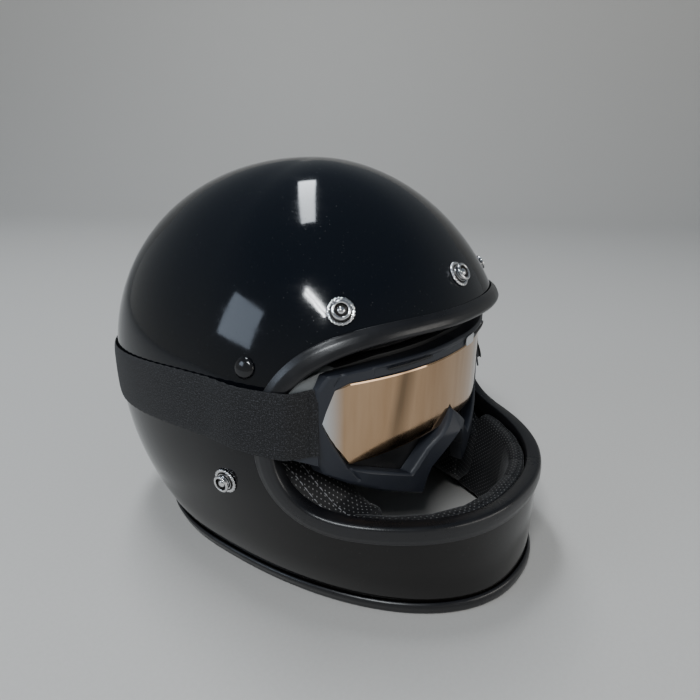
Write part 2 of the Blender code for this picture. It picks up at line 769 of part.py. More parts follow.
def strap_keeper(finish):
    """Snap cap that holds the right web's folded end."""
    pivot_x, top = web_pivot()
    x = 2 * FOLD_RADIUS + 0.5 * WEB_THICKNESS + FIT_GAP - pivot_x
    place = Matrix.Translation((x, WEB_Y, top - 0.0340)) @ Matrix.Rotation(math.radians(90), 4, "Y")
    cap = [(0.0, 0.0), (0.0060, 0.0), (0.0060, 0.0012), (0.0045, 0.0022), (0.0, 0.0026)]
    place_object("strap_keeper", turned_solid("strap_keeper", cap, 16, finish), place)


# Goggles.

def goggle_y(x, depth):
    return GOGGLE_FRONT_Y + x * x / GOGGLE_BEND + depth


def whole_outline(half):
    """Mirror a half outline that runs down the wearer's left side from the middle."""
    return half + [(-x, z) for x, z in half[::-1] if x > 0.0]


LENS_HALF = [
    (0.0, 0.1465), (0.0815, 0.1457), (0.0890, 0.1425), (0.0958, 0.1230), (0.0805, 0.0940),
    (0.0082, 0.0990), (0.0, 0.1100),
]
FRAME_HALF = [
    (0.0, 0.1570), (0.0600, 0.1550), (0.0840, 0.1530), (0.0935, 0.1525), (0.0985, 0.1445), (0.1005, 0.1045),
    (0.0950, 0.0912), (0.0810, 0.0815), (0.0610, 0.0705), (0.0275, 0.0555), (0.0215, 0.0720), (0.0, 0.0945),
]
FRAME_WINDOW_HALF = [
    (0.0, 0.1470), (0.0817, 0.1462), (0.0894, 0.1428), (0.0963, 0.1230), (0.0815, 0.0925), (0.0620, 0.0840),
    (0.0450, 0.0760),
    (0.0360, 0.0740), (0.0262, 0.0770), (0.0, 0.1080),
]
INNER_HALF = [
    (0.0, 0.1600), (0.0600, 0.1580), (0.0880, 0.1535), (0.0970, 0.1490), (0.0975, 0.1080), (0.0760, 0.0860),
    (0.0500, 0.0720), (0.0300, 0.0640), (0.0200, 0.0760), (0.0, 0.0960),
]
INNER_WINDOW_HALF = [
    (0.0, 0.1440), (0.0780, 0.1432), (0.0850, 0.1400), (0.0900, 0.1230), (0.0770, 0.0970), (0.0, 0.1030),
]
FOAM_HALF = [
    (0.0, 0.1600), (0.0560, 0.1580), (0.0790, 0.1500), (0.0840, 0.1380), (0.0840, 0.1100), (0.0700, 0.0880),
    (0.0480, 0.0760), (0.0300, 0.0700), (0.0180, 0.0800), (0.0, 0.0980),
]
FOAM_WINDOW_HALF = [
    (0.0, 0.1440), (0.0500, 0.1420), (0.0680, 0.1360), (0.0710, 0.1240), (0.0600, 0.1020), (0.0, 0.1100),
]


def slab(front_depth, back_depth, flare):
    """A wide bent slab between two depths, from which the goggle parts are cut, flared at the nose."""
    columns = 18
    half = 0.110
    low, high = 0.040, 0.175
    sections = []
    for i in range(columns + 1):
        x = -half + 2 * half * i / columns
        front, back = goggle_y(x, front_depth), goggle_y(x, back_depth)
        nose = front - flare * max(1.0 - abs(x) / NOSE_HALF_WIDTH, 0.0)
        corners = (
            (nose, low), (nose, NOSE_RIDGE_Z), (front, NOSE_TIP_Z), (front, high), (back, high), (back, low),
        )
        sections.append([Vector((x, y, z)) for y, z in corners])
    return sections


def bent_part(name, outline_half, window_half, front_depth, back_depth, finish, flare=0.0):
    """A part of the goggles: the bent slab kept inside an outline and opened by a window."""
    part = loft_object(name, slab(front_depth, back_depth, flare), finish)
    keep = straight_prism(name + "_outline", whole_outline(outline_half))
    keeping = part.modifiers.new("outline", "BOOLEAN")
    keeping.operation = "INTERSECT"
    keeping.solver = "EXACT"
    keeping.object = keep
    if window_half:
        cut(part, straight_prism(name + "_window", whole_outline(window_half)))
    return part


def straight_prism(name, outline):
    mesh_builder = bmesh.new()
    depths = (CENTRE_Y - 0.200, CENTRE_Y + 0.050)
    add_loft(mesh_builder, [[Vector((x, y, z)) for x, z in outline] for y in depths])
    return make_cutter(name, mesh_builder)


def vent_inserts(finish):
    """Two dark strips set on the brow of the goggle frame, over its vents."""
    for name, side in (("vent_insert_right", -1), ("vent_insert_left", 1)):
        sections = []
        for i in range(5):
            x = side * (0.028 + 0.033 * i / 4)
            sections.append(brow_strip(x, 0.1521 - 0.0003 * i, 0.1535 - 0.0003 * i))
        loft_object(name, sections, finish)


def brow_strip(x, low, high):
    """Section of a thin strip stuck to the front of the goggle frame."""
    front = goggle_y(x, -FRAME_PROUD - 0.0010)
    back = goggle_y(x, -FRAME_PROUD - 0.0003)
    return [Vector((x, y, z)) for y, z in ((front, low), (front, high), (back, high), (back, low))]


def lens_tab(finish):
    """Plain pale tab on the goggle brow, a little to the wearer's left."""
    loft_object("lens_tab", [brow_strip(0.012 + 0.0045 * i, 0.1480, 0.1545) for i in range(4)], finish)


def strap_centre_z(bearing_degrees):
    """Height of the strap's middle, which drops toward the back of the helmet."""
    share = (abs(bearing_degrees) - 75.0) / 105.0
    return STRAP_FRONT_Z - STRAP_REAR_DROP * smooth_step(share)


def strap_gap(bearing_degrees):
    """Stand-off of the strap's inner face: over the eyeport trim, on the shell, over the slider."""
    bearing = abs(bearing_degrees)
    over_trim = (STRAP_OVER_TRIM - STRAP_REST_GAP) * (1.0 - smooth_step((bearing - 69.0) / 14.0))
    over_slider = (STRAP_REAR_LIFT - STRAP_REST_GAP) * smooth_step((bearing - 145.0) / 15.0)
    return STRAP_REST_GAP + over_trim + over_slider


def strap_levels(half_width, count=4):
    return [-half_width + 2 * half_width * k / (count - 1) for k in range(count)]


def band_section(bearing_degrees, half_width, inner_gap, outer_gap, count=4):
    """Section of a band that lies outside the shell between two stand-offs."""
    bearing = math.radians(bearing_degrees)
    centre = strap_centre_z(180.0 - abs(180.0 - abs(bearing_degrees)))
    levels = strap_levels(half_width, count)
    inner = [wall_point(bearing, centre + level, -inner_gap) for level in levels]
    outer = [wall_point(bearing, centre + level, -outer_gap) for level in levels[::-1]]
    return inner + outer


def goggle_strap(finish):
    steps = 54
    sections = []
    for i in range(steps + 1):
        bearing = STRAP_END_BEARING + (360.0 - 2 * STRAP_END_BEARING) * i / steps
        folded = 180.0 - abs(180.0 - bearing)
        gap = strap_gap(folded)
        sections.append(band_section(bearing, 0.5 * STRAP_WIDTH, gap, gap + STRAP_THICKNESS))
    return loft_object("goggle_strap", sections, finish)


def strap_slider(finish):
    """Adjuster that wraps the strap at the back: a tube of rectangular section, open at both ends."""
    steps = 6
    outer_rows = []
    inner_rows = []
    hole_half = 0.5 * STRAP_WIDTH + 0.0006
    for i in range(steps + 1):
        bearing = 180.0 - SLIDER_HALF_BEARING + 2 * SLIDER_HALF_BEARING * i / steps
        outer_rows.append(band_section(bearing, hole_half + 0.0022, 0.0008, 0.0066))
        inner_rows.append(band_section(bearing, hole_half, 0.0019, 0.0049))
    mesh_builder = bmesh.new()
    grids = []
    for rows in (outer_rows, inner_rows):
        grids.append([[mesh_builder.verts.new(point) for point in row] for row in rows])
    count = len(outer_rows[0])
    for grid in grids:
        for near, far in zip(grid, grid[1:]):
            for k in range(count):
                m = (k + 1) % count
                mesh_builder.faces.new((near[k], near[m], far[m], far[k]))
    for end in (0, -1):
        for k in range(count):
            m = (k + 1) % count
            mesh_builder.faces.new((grids[0][end][k], grids[0][end][m], grids[1][end][m], grids[1][end][k]))
    return make_object("strap_slider", mesh_builder, finish)


def frame_arms(finish, pin_finish):
    """End plates under the strap's ends, and the pins that fix them to the goggle frame."""
    for name, side in (("frame_arm_right", -1), ("frame_arm_left", 1)):
        sections = []
        for i in range(3):
            bearing = side * (STRAP_END_BEARING + 0.3 + 3.0 * i / 2)
            outer_gap = strap_gap(abs(bearing)) - 0.0004
            half_width = 0.5 * STRAP_WIDTH - 0.0004
            sections.append(band_section(bearing, half_width, outer_gap - ARM_THICKNESS, outer_gap))
        loft_object(name, sections, finish)
    pin = [(0.0, -0.0030), (0.0016, -0.0030), (0.0016, 0.0), (0.0, 0.0)]
    pin_mesh = turned_solid("frame_arm_pin", pin, 10, pin_finish)
    for name, side in (("frame_arm_pin_right", -1), ("frame_arm_pin_left", 1)):
        bearing = math.radians(side * (STRAP_END_BEARING + 1.8))
        normal = shell_normal(bearing, STRAP_FRONT_Z)
        start = shell_point(bearing, STRAP_FRONT_Z) + normal * (strap_gap(STRAP_END_BEARING) - 0.0031)
        turn = normal.to_track_quat("Z", "Y").to_matrix().to_4x4()
        place_object(name, pin_mesh, Matrix.Translation(start) @ turn)


def carry(name, point, members):
    """An empty on a joint's axis, carrying the pieces of one moving body."""
    empty = bpy.data.objects.new(name, None)
    bpy.context.scene.collection.objects.link(empty)
    empty.location = point
    for member in members:
        piece = bpy.data.objects[member]
        piece.parent = empty
        piece.matrix_parent_inverse = Matrix.Translation(point).inverted()


def carry_moving_pieces():
    goggles = [
        "goggle_frame", "goggle_inner_frame", "goggle_lens", "goggle_foam", "lens_tab",
        "vent_insert_left", "vent_insert_right", "frame_arm_left", "frame_arm_right",
        "frame_arm_pin_left", "frame_arm_pin_right",
    ]
    carry("goggle_slide_axis", Vector((0.0, GOGGLE_FRONT_Y, TEMPLE_Z)), goggles)
    pivot_x, top = web_pivot()
    carry("strap_left_axis", Vector((pivot_x, WEB_Y, top)), ["chin_strap_left"])
    carry("strap_right_axis", Vector((-pivot_x, WEB_Y, top)), ["chin_strap_right", "strap_keeper"])
    for name, (bar_x, bar_z) in ring_bars().items():
        carry("ring_" + name + "_axis", Vector((bar_x, WEB_Y, bar_z)), ["d_ring_" + name])
    slider_z = strap_centre_z(180.0)
    carry("slider_axis", Vector((0.0, SLIDER_CENTRE_Y, slider_z)), ["strap_slider"])


def build():
    clear_scene()
    material("cutter", (0.8, 0.2, 0.1), 0.5)
    gloss_black = material("gloss_black_shell", (0.006, 0.006, 0.008), 0.08)
    rubber = material("black_rubber", (0.012, 0.012, 0.012), 0.45)
    foam = material("grey_foam", (0.05, 0.05, 0.055), 0.9)
    leather = material("perforated_leather", (0.014, 0.014, 0.014), 0.55)
    chrome = material("chrome", (0.75, 0.75, 0.75), 0.12, 1.0)
    steel = material("zinc_steel", (0.45, 0.45, 0.44), 0.35, 1.0)
    webbing = material("black_webbing", (0.015, 0.015, 0.016), 0.85)
    frame_finish = material("matt_goggle_frame", (0.022, 0.026, 0.034), 0.5)
    soft_frame = material("soft_goggle_frame", (0.015, 0.015, 0.016), 0.35)
    mirror = material("mirror_lens", (0.70, 0.66, 0.62), 0.08, 1.0)
    pale = material("pale_tab", (0.62, 0.63, 0.64), 0.5)

    shell = cup("helmet_shell", gloss_black, 0.0, SHELL_THICKNESS, RIM_Z, 48, 10, 7)
    cut(shell, eyeport_cutter())
    cut(shell, stud_drills())
    eyeport_trim(rubber)
    base_trim(rubber)
    snaps(chrome, steel)
    strap_rivets(rubber, steel)

    liner = cup("impact_liner", foam, LINER_OUTER, LINER_INNER, LINER_RIM_Z, 36, 7, 3)
    cut(liner, liner_front_cutter())
    cut(liner, web_channel_cutter())
    pad = cup("crown_pad", leather, CROWN_PAD_OUTER, CROWN_PAD_INNER, CROWN_PAD_RIM_Z, 36, 7, 1)
    cut(pad, pad_eyeport_cutter())
    chin_liner(foam)
    chin_lining(leather)
    neck_roll(leather)
    sections = cheek_pad_sections()
    loft_object("cheek_pad_left", sections, leather)
    loft_object("cheek_pad_right", mirrored(sections), leather)

    web_roots(webbing)
    chin_straps(webbing)
    d_rings(steel)
    strap_keeper(steel)

    bent_part("goggle_frame", FRAME_HALF, FRAME_WINDOW_HALF, -FRAME_PROUD, FRAME_DEPTH, frame_finish,
              flare=NOSE_FLARE)
    bent_part("goggle_lens", LENS_HALF, None, 0.0, LENS_THICKNESS, mirror)
    bent_part("goggle_inner_frame", INNER_HALF, INNER_WINDOW_HALF, FRAME_DEPTH + 0.0003, INNER_FRAME_DEPTH,
              soft_frame)
    bent_part("goggle_foam", FOAM_HALF, FOAM_WINDOW_HALF, INNER_FRAME_DEPTH + 0.0003, FOAM_DEPTH, foam)
    vent_inserts(soft_frame)
    lens_tab(pale)
    frame_arms(frame_finish, steel)
    goggle_strap(webbing)
    strap_slider(soft_frame)
    carry_moving_pieces()


build()
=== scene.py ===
"""Looks of the full-face motorcycle helmet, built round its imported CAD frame.

Metres, +Z up. The wearer looks along -Y and the wearer's left is +X.
"""
import math

import bmesh
import bpy
from mathutils import Matrix, Vector
from mathutils.bvhtree import BVHTree


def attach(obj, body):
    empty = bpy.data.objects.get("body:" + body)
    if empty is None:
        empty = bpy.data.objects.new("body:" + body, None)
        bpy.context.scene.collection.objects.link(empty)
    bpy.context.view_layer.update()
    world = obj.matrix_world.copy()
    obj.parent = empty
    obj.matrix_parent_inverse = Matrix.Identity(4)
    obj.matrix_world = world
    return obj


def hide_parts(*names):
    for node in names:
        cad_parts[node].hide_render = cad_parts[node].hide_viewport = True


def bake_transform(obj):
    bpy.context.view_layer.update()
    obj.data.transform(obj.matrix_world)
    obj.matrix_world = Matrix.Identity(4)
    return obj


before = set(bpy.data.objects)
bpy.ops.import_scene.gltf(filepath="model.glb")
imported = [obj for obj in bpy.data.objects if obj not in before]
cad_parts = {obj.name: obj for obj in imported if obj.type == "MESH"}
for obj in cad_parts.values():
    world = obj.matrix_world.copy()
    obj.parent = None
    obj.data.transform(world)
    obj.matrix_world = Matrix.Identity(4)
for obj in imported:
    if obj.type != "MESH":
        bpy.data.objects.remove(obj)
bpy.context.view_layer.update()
scene = bpy.context.scene

# Shell surface, as in the CAD.
CENTRE_Y = 0.0033
HALF_WIDTH = 0.125
CROWN_Z = 0.262
WIDEST_Z = 0.121
FRONT_REACH = 0.1345
REAR_REACH = 0.160
SHELL_THICKNESS = 0.0045
RIM_Z = 0.0032

# Eyeport outline.
TEMPLE_Y = CENTRE_Y - 0.060
TEMPLE_Z = 0.121
BROW_EDGE_Z = 0.1755
CHIN_EDGE_Z = 0.0680
BROW_CURVE_LENGTH = 0.062
CHIN_CURVE_LENGTH = 0.045

# Strap round the shell.
STRAP_WIDTH = 0.0376
STRAP_THICKNESS = 0.0016
STRAP_FRONT_Z = 0.1262
STRAP_END_BEARING = 50.5

# Cheek pads and chin strap.
PAD_FRONT_Y = CENTRE_Y - 0.095
PAD_REAR_Y = CENTRE_Y + 0.034
SEAM_OFFSETS = (0.0075, 0.0170)
PAD_DEPTH = 0.0088
WEB_WIDTH = 0.020
WEB_THICKNESS = 0.0016
WEB_Y = CENTRE_Y - 0.036
LOOP_RADIUS = 0.0036
FOLD_RADIUS = 0.0014
WIRE_RADIUS = 0.0011

# Goggles.
GOGGLE_FRONT_Y = CENTRE_Y - 0.112
GOGGLE_BEND = 0.300
LENS_BEND_X = 0.0835

# The photo's width, and the focal length taken for it, in pixels.
PHOTO_WIDTH = 700.0
PHOTO_FOCAL = 599.0

# Floor and cloth.
FLOOR_FLAT = 1.6
FLOOR_CURVE = 0.9
FLOOR_REACH = 2.6
CLOTH_FRAMES = 20
PUFF_LIMIT = 0.0050
PAD_GRAIN = 0.0026

# Metres of the surf layer per radian, round a bowl and over its top, and round the eyeport's path.
BOWL_ROUND = 0.11
BOWL_OVER = 0.15
PATH_ROUND = 0.12

SIDES = (("right", -1), ("left", 1))

SNAPS = {
    "brow_centre": (0.0, 0.1974),
    "brow_right": (-44.3, 0.1865),
    "brow_left": (44.3, 0.1865),
    "cheek_right": (-76.7, 0.0796),
    "cheek_left": (76.7, 0.0796),
}
RIVETS = {"right": (-69.7, 0.1539), "left": (69.7, 0.1539)}


# Surfaces.

def smooth_step(value):
    value = min(max(value, 0.0), 1.0)
    return value * value * (3.0 - 2.0 * value)


def plan_reaches(height):
    drop = max(WIDEST_Z - height, 0.0) / WIDEST_Z
    side = HALF_WIDTH * (1.0 - 0.22 * drop ** 2.53)
    front = FRONT_REACH * (1.0 + 0.2635 * (1.0 - (1.0 - min(drop, 1.0)) ** 4.6))
    rear = REAR_REACH * (1.0 - 0.33 * drop ** 2.3)
    return side, front, rear


def shell_radius(bearing, height):
    side, front, rear = plan_reaches(height)
    ahead = math.cos(bearing)
    across = abs(math.sin(bearing))
    reach = front if ahead >= 0.0 else rear
    power = 2.24 if ahead >= 0.0 else 2.36
    radius = ((abs(ahead) / reach) ** power + (across / side) ** power) ** (-1.0 / power)
    if height > WIDEST_Z:
        end_bow = 1.90 if ahead >= 0.0 else 2.12
        bow = ahead * ahead * end_bow + across * across * 1.83
        rise = min((height - WIDEST_Z) / (CROWN_Z - WIDEST_Z), 1.0)
        radius *= (1.0 - rise ** bow) ** (1.0 / bow)
    return radius


def shell_point(bearing, height):
    radius = shell_radius(bearing, height)
    return Vector((radius * math.sin(bearing), CENTRE_Y - radius * math.cos(bearing), height))


def shell_normal(bearing, height):
    step = 1e-4
    around = shell_point(bearing + step, height) - shell_point(bearing - step, height)
    upward = shell_point(bearing, height + step) - shell_point(bearing, height - step)
    return around.cross(upward).normalized()


def wall_point(bearing, height, depth):
    """A point at the given depth inward, measured level."""
    normal = shell_normal(bearing, height)
    return shell_point(bearing, height) - depth * Vector((normal.x, normal.y, 0.0)).normalized()


def inset_point(bearing, height, depth):
    return shell_point(bearing, height) - depth * shell_normal(bearing, height)


def hollow_point(bearing, height, depth):
    """A point at the given depth toward the middle of the crown, so that deep insets never fold over."""
    outer = shell_point(bearing, height)
    toward = Vector((0.0, CENTRE_Y, min(height, WIDEST_Z))) - outer
    return outer + depth * toward.normalized()


def bearing_at(y, height):
    low, high = 0.0, math.pi
    for _ in range(40):
        middle = 0.5 * (low + high)
        if shell_point(middle, height).y < y:
            low = middle
        else:
            high = middle
    return 0.5 * (low + high)


def side_wall_x(y, height, depth):
    bearing = bearing_at(y, height)
    return shell_point(bearing, height).x - depth / max(shell_normal(bearing, height).x, 0.4)


def goggle_point(x, z, depth):
    """A point at the given depth behind the goggles' curved front."""
    return Vector((x, GOGGLE_FRONT_Y + x * x / GOGGLE_BEND + depth, z))


def brow_edge_height(y):
    share = min((TEMPLE_Y - y) / BROW_CURVE_LENGTH, 1.0)
    return TEMPLE_Z + (BROW_EDGE_Z - TEMPLE_Z) * math.sqrt(max(1.0 - (1.0 - share) ** 2, 0.0))


def chin_edge_height(y):
    share = (TEMPLE_Y - y) / CHIN_CURVE_LENGTH
    if share >= 1.0:
        return CHIN_EDGE_Z - 0.03 * CHIN_CURVE_LENGTH * (share - 1.0)
    turn = math.sqrt(max(1.0 - (1.0 - share) ** 2, 0.0))
    return TEMPLE_Z - (TEMPLE_Z - CHIN_EDGE_Z) * turn ** 0.8


def resample(points, count):
    """Even arc-length points round a closed polyline of vectors."""
    closed = points + [points[0]]
    lengths = [0.0]
    for near, far in zip(closed, closed[1:]):
        lengths.append(lengths[-1] + (far - near).length)
    result = []
    segment = 0
    for i in range(count):
        target = lengths[-1] * i / count
        while lengths[segment + 1] < target:
            segment += 1
        span = lengths[segment + 1] - lengths[segment]
        share = (target - lengths[segment]) / span if span else 0.0
        result.append(closed[segment].lerp(closed[segment + 1], share))
    return result


def eased(points, passes):
    """Points of a closed line, each drawn toward its neighbours a number of times."""
    for _ in range(passes):
        points = [
            (points[i - 1] + 2 * point + points[(i + 1) % len(points)]) / 4 for i, point in enumerate(points)
        ]
    return points


def eyeport_path(count):
    """Bearings and heights evenly round the eyeport's edge, from the brow's middle."""
    front_bearing = math.radians(50)
    steps = 24
    brow, chin = [], []
    for i in range(steps + 1):
        bearing = front_bearing * i / steps
        for row, edge_height in ((brow, brow_edge_height), (chin, chin_edge_height)):
            height = edge_height(CENTRE_Y - FRONT_REACH)
            for _ in range(14):
                height = edge_height(shell_point(bearing, height).y)
            row.append((bearing, height))
    outline = []
    for i in range(49):
        angle = math.pi / 2 * (1.0 - i / 48)
        y = TEMPLE_Y - BROW_CURVE_LENGTH * (1.0 - math.cos(angle))
        outline.append((y, TEMPLE_Z + (BROW_EDGE_Z - TEMPLE_Z) * math.sin(angle)))
    for i in range(1, 49):
        angle = math.pi / 2 * i / 48
        y = TEMPLE_Y - CHIN_CURVE_LENGTH * (1.0 - math.cos(angle))
        outline.append((y, TEMPLE_Z - (TEMPLE_Z - CHIN_EDGE_Z) * math.sin(angle) ** 0.8))
    temple = [(bearing_at(y, z), z) for y, z in outline]
    temple = [(bearing, z) for bearing, z in temple if bearing > front_bearing + 0.02]
    left = brow + temple + chin[::-1]
    path = left + [(-bearing, height) for bearing, height in left[1:-1]][::-1]
    flat = eased([Vector((PATH_ROUND * bearing, height, 0.0)) for bearing, height in path], 3)
    return [(point.x / PATH_ROUND, point.y) for point in resample(flat, count)]


# Mesh helpers.

def quads(near, far, closed=True):
    """Faces that join two rows of vertices, corner to corner."""
    pairs = list(zip(near, far))
    following = pairs[1:] + pairs[:1] if closed else pairs[1:]
    return [(a, c, d, b) for (a, b), (c, d) in zip(pairs, following)]


def finish_object(name, verts, faces, uvs, finish, body, sharp=None, stands_for=()):
    """Make a piece, set its body and the CAD nodes it replaces; without uvs the surf layer is all zeros."""
    mesh = bpy.data.meshes.new(name)
    mesh.from_pydata([tuple(vert) for vert in verts], [], faces)
    layer = mesh.uv_layers.new(name="surf")
    corners = [value for face in uvs or () for uv in face for value in uv]
    layer.data.foreach_set("uv", corners or [0.0] * (2 * len(layer.data)))
    builder = bmesh.new()
    builder.from_mesh(mesh)
    bmesh.ops.remove_doubles(builder, verts=builder.verts, dist=1e-7)
    bmesh.ops.recalc_face_normals(builder, faces=builder.faces)
    builder.to_mesh(mesh)
    builder.free()
    mesh.shade_smooth()
    if sharp:
        mesh.set_sharp_from_angle(angle=math.radians(sharp))
    mesh.materials.append(finish)
    made = bpy.data.objects.new(name, mesh)
    scene.collection.objects.link(made)
    if body:
        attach(made, body)
    if stands_for:
        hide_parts(*stands_for)
    return made


def skin(name, sections, finish, body, closed=False, sharp=None, stands_for=()):
    """Skin closed sections in a row; the surf layer holds metres along and metres round."""
    count = len(sections[0])
    verts = [point for section in sections for point in section]
    rows = [range(start, start + count) for start in range(0, len(verts), count)]
    along = [0.0]
    for near, far in zip(sections, sections[1:] + sections[:1]):
        along.append(along[-1] + sum((a - b).length for a, b in zip(near, far)) / count)
    around = [0.0]
    middle = sections[len(sections) // 2]
    for k in range(count):
        around.append(around[-1] + (middle[(k + 1) % count] - middle[k]).length)
    faces, uvs = [], []
    for i in range(len(rows) if closed else len(rows) - 1):
        faces += quads(rows[i], rows[(i + 1) % len(rows)])
        here, there = along[i], along[i + 1]
        uvs += [((here, a), (here, b), (there, b), (there, a)) for a, b in zip(around, around[1:])]
    if not closed:
        for row, step in ((rows[0], -1), (rows[-1], 1)):
            faces.append(tuple(row)[::step])
            uvs.append(tuple((value, value) for value in around[:count])[::step])
    return finish_object(name, verts, faces, uvs, finish, body, sharp, stands_for)


def box(low_x, low_y, high_x, high_y):
    return [(low_x, low_y), (high_x, low_y), (high_x, high_y), (low_x, high_y)]


def rounded(corners, radius, steps=3):
    """A closed 2-D polygon with its corners rounded."""
    result = []
    count = len(corners)
    for i in range(count):
        corner = Vector(corners[i])
        before = Vector(corners[i - 1]) - corner
        after = Vector(corners[(i + 1) % count]) - corner
        reach = min(radius, 0.45 * before.length, 0.45 * after.length)
        start = corner + before.normalized() * reach
        end = corner + after.normalized() * reach
        for k in range(steps + 1):
            t = k / steps
            result.append((1 - t) ** 2 * start + 2 * t * (1 - t) * corner + t * t * end)
    return result


def bowl(name, outer_depth, inner_depth, rim_z, segments, cap_rows, wall_rows, finish, stands_for, puff=None,
         place=None):
    """A bowl between two depths inside the shell's surface; puff adds quilting to the inner face."""
    angles = [math.pi / 2 * (row + 0.6) / (cap_rows - 0.4) for row in range(cap_rows)]
    heights = [WIDEST_Z + (CROWN_Z - WIDEST_Z) * math.cos(angle) for angle in angles]
    heights[-1] = WIDEST_Z
    heights += [WIDEST_Z + (rim_z - WIDEST_Z) * (row + 1) / wall_rows for row in range(wall_rows)]
    verts, faces, uvs = [], [], []
    starts = []
    for inner, depth in enumerate((outer_depth, inner_depth)):
        starts.append(len(verts))
        verts.append(Vector((0.0, CENTRE_Y, CROWN_Z - depth)))
        arc = 0.0
        arcs = []
        for row, height in enumerate(heights):
            last = row == len(heights) - 1
            for i in range(segments):
                bearing = 2 * math.pi * i / segments
                here = depth + (puff(bearing, height) if inner and puff and not last else 0.0)
                point_at = place or (wall_point if last else inset_point)
                verts.append(point_at(bearing, height, here))
            arc = BOWL_OVER * angles[row] if row < cap_rows else arc + (heights[row - 1] - height)
            arcs.append(arc)
        for i in range(segments):
            j = (i + 1) % segments
            first = starts[-1] + 1
            u, u2 = (BOWL_ROUND * 2 * math.pi * k / segments for k in (i, i + 1))
            faces.append((starts[-1], first + i, first + j))
            uvs.append(((u, 0.0), (u, arcs[0]), (u2, arcs[0])))
            for row in range(len(heights) - 1):
                a = first + row * segments
                b = a + segments
                faces.append((a + i, b + i, b + j, a + j))
                uvs.append(((u, arcs[row]), (u, arcs[row + 1]), (u2, arcs[row + 1]), (u2, arcs[row])))
    rims = [start + 1 + (len(heights) - 1) * segments for start in starts]
    for i in range(segments):
        j = (i + 1) % segments
        faces.append((rims[0] + i, rims[1] + i, rims[1] + j, rims[0] + j))
        uvs.append(((0.0, 0.0),) * 4)
    return finish_object(name, verts, faces, uvs, finish, "helmet", 40, stands_for)


def apply_modifiers(piece):
    """Keep what the modifiers make as the piece's own mesh."""
    bpy.context.view_layer.update()
    result = bpy.data.meshes.new_from_object(piece.evaluated_get(bpy.context.evaluated_depsgraph_get()))
    if not result.polygons:
        raise RuntimeError("nothing is left of " + piece.name)
    piece.modifiers.clear()
    piece.data = result


def cut_away(target, sections, sharp):
    """Cut a lofted solid out of a piece and smooth the rest up to the sharp angle."""
    builder = bmesh.new()
    rings = [[builder.verts.new(point) for point in section] for section in sections]
    for near, far in zip(rings, rings[1:]):
        for face in quads(near, far):
            builder.faces.new(face)
    builder.faces.new(rings[0][::-1])
    builder.faces.new(rings[-1])
    bmesh.ops.triangulate(builder, faces=builder.faces)
    bmesh.ops.recalc_face_normals(builder, faces=builder.faces)
    mesh = bpy.data.meshes.new("cutter")
    builder.to_mesh(mesh)
    builder.free()
    cutter = bpy.data.objects.new("cutter", mesh)
    scene.collection.objects.link(cutter)
    cutting = target.modifiers.new("cut", "BOOLEAN")
    cutting.operation = "DIFFERENCE"
    cutting.solver = "EXACT"
    cutting.object = cutter
    apply_modifiers(target)
    bpy.data.objects.remove(cutter, do_unlink=True)
    target.data.shade_smooth()
    target.data.set_sharp_from_angle(angle=math.radians(sharp))


def eyeport_edge(count):
    """Height, place, outward and past-the-edge directions evenly round the eyeport."""
    path = eyeport_path(count)
    places = [shell_point(bearing, height) for bearing, height in path]
    for i, (bearing, height) in enumerate(path):
        tangent = (places[(i + 1) % len(path)] - places[i - 1]).normalized()
        outward = shell_normal(bearing, height)
        yield height, places[i], outward, tangent.cross(outward).normalized()


def eyeport_cutter_rings(margin=0.0):
    """Rings of the eyeport cutter, square to the shell's surface."""
    reach = 0.014
    rings = [[], [], [], []]
    for _, place, outward, past_edge in eyeport_edge(260):
        edge = place + past_edge * -margin
        outside = edge + reach * outward
        rings[0].append(Vector((outside.x, CENTRE_Y - 0.250, outside.z)))
        rings[1].append(outside)
        rings[2].append(edge - (reach + 1.6 * margin) * outward)
        rings[3].append(Vector((0.4 * edge.x, CENTRE_Y - 0.040, TEMPLE_Z + 0.8 * (edge.z - TEMPLE_Z))))
    return rings


def placed(place, x, y, z):
    """The matrix that stands at a place with the given axes."""
    return Matrix.Translation(place) @ Matrix((x, y, z)).transposed().to_4x4()


def stud_place(bearing_degrees, height):
    bearing = math.radians(bearing_degrees)
    outward = shell_normal(bearing, height)
    across = Vector((0.0, 0.0, 1.0)).cross(outward).normalized()
    return placed(shell_point(bearing, height), across, outward.cross(across), outward)


def turned(name, profile, finish, body, place, segments=64, knurl=None, stands_for=(), sharp=40):
    """A turned piece about the local Z axis; a radius of zero closes it on the axis."""
    verts, rings = [], []
    for radius, height in profile:
        if radius == 0.0:
            verts.append(place @ Vector((0.0, 0.0, height)))
            rings.append([len(verts) - 1] * segments)
            continue
        rings.append(range(len(verts), len(verts) + segments))
        for i in range(segments):
            angle = 2 * math.pi * i / segments
            here = radius * (knurl(angle, radius) if knurl else 1.0)
            verts.append(place @ Vector((here * math.cos(angle), here * math.sin(angle), height)))
    pairs = list(zip(rings, rings[1:]))
    if profile[0][0] and profile[-1][0]:
        pairs.append((rings[-1], rings[0]))
    faces = [tuple(dict.fromkeys(face)) for near, far in pairs for face in quads(near, far)]
    return finish_object(name, verts, faces, None, finish, body, sharp, stands_for)


# Materials.

def new_finish(name, base, roughness, metallic=0.0):
    made = bpy.data.materials.new(name)
    made.use_nodes = True
    shader = made.node_tree.nodes["Principled BSDF"]
    shader.inputs["Base Color"].default_value = (*base, 1.0)
    shader.inputs["Roughness"].default_value = roughness
    shader.inputs["Metallic"].default_value = metallic
    return made, made.node_tree, shader


def node(tree, kind, inputs=None, **settings):
    """Add a node; an input is a value or the socket that feeds it."""
    made = tree.nodes.new(kind)
    for key, value in settings.items():
        setattr(made, key, value)
    for key, value in (inputs or {}).items():
        if isinstance(value, bpy.types.NodeSocket):
            tree.links.new(value, made.inputs[key])
        else:
            made.inputs[key].default_value = value
    return made


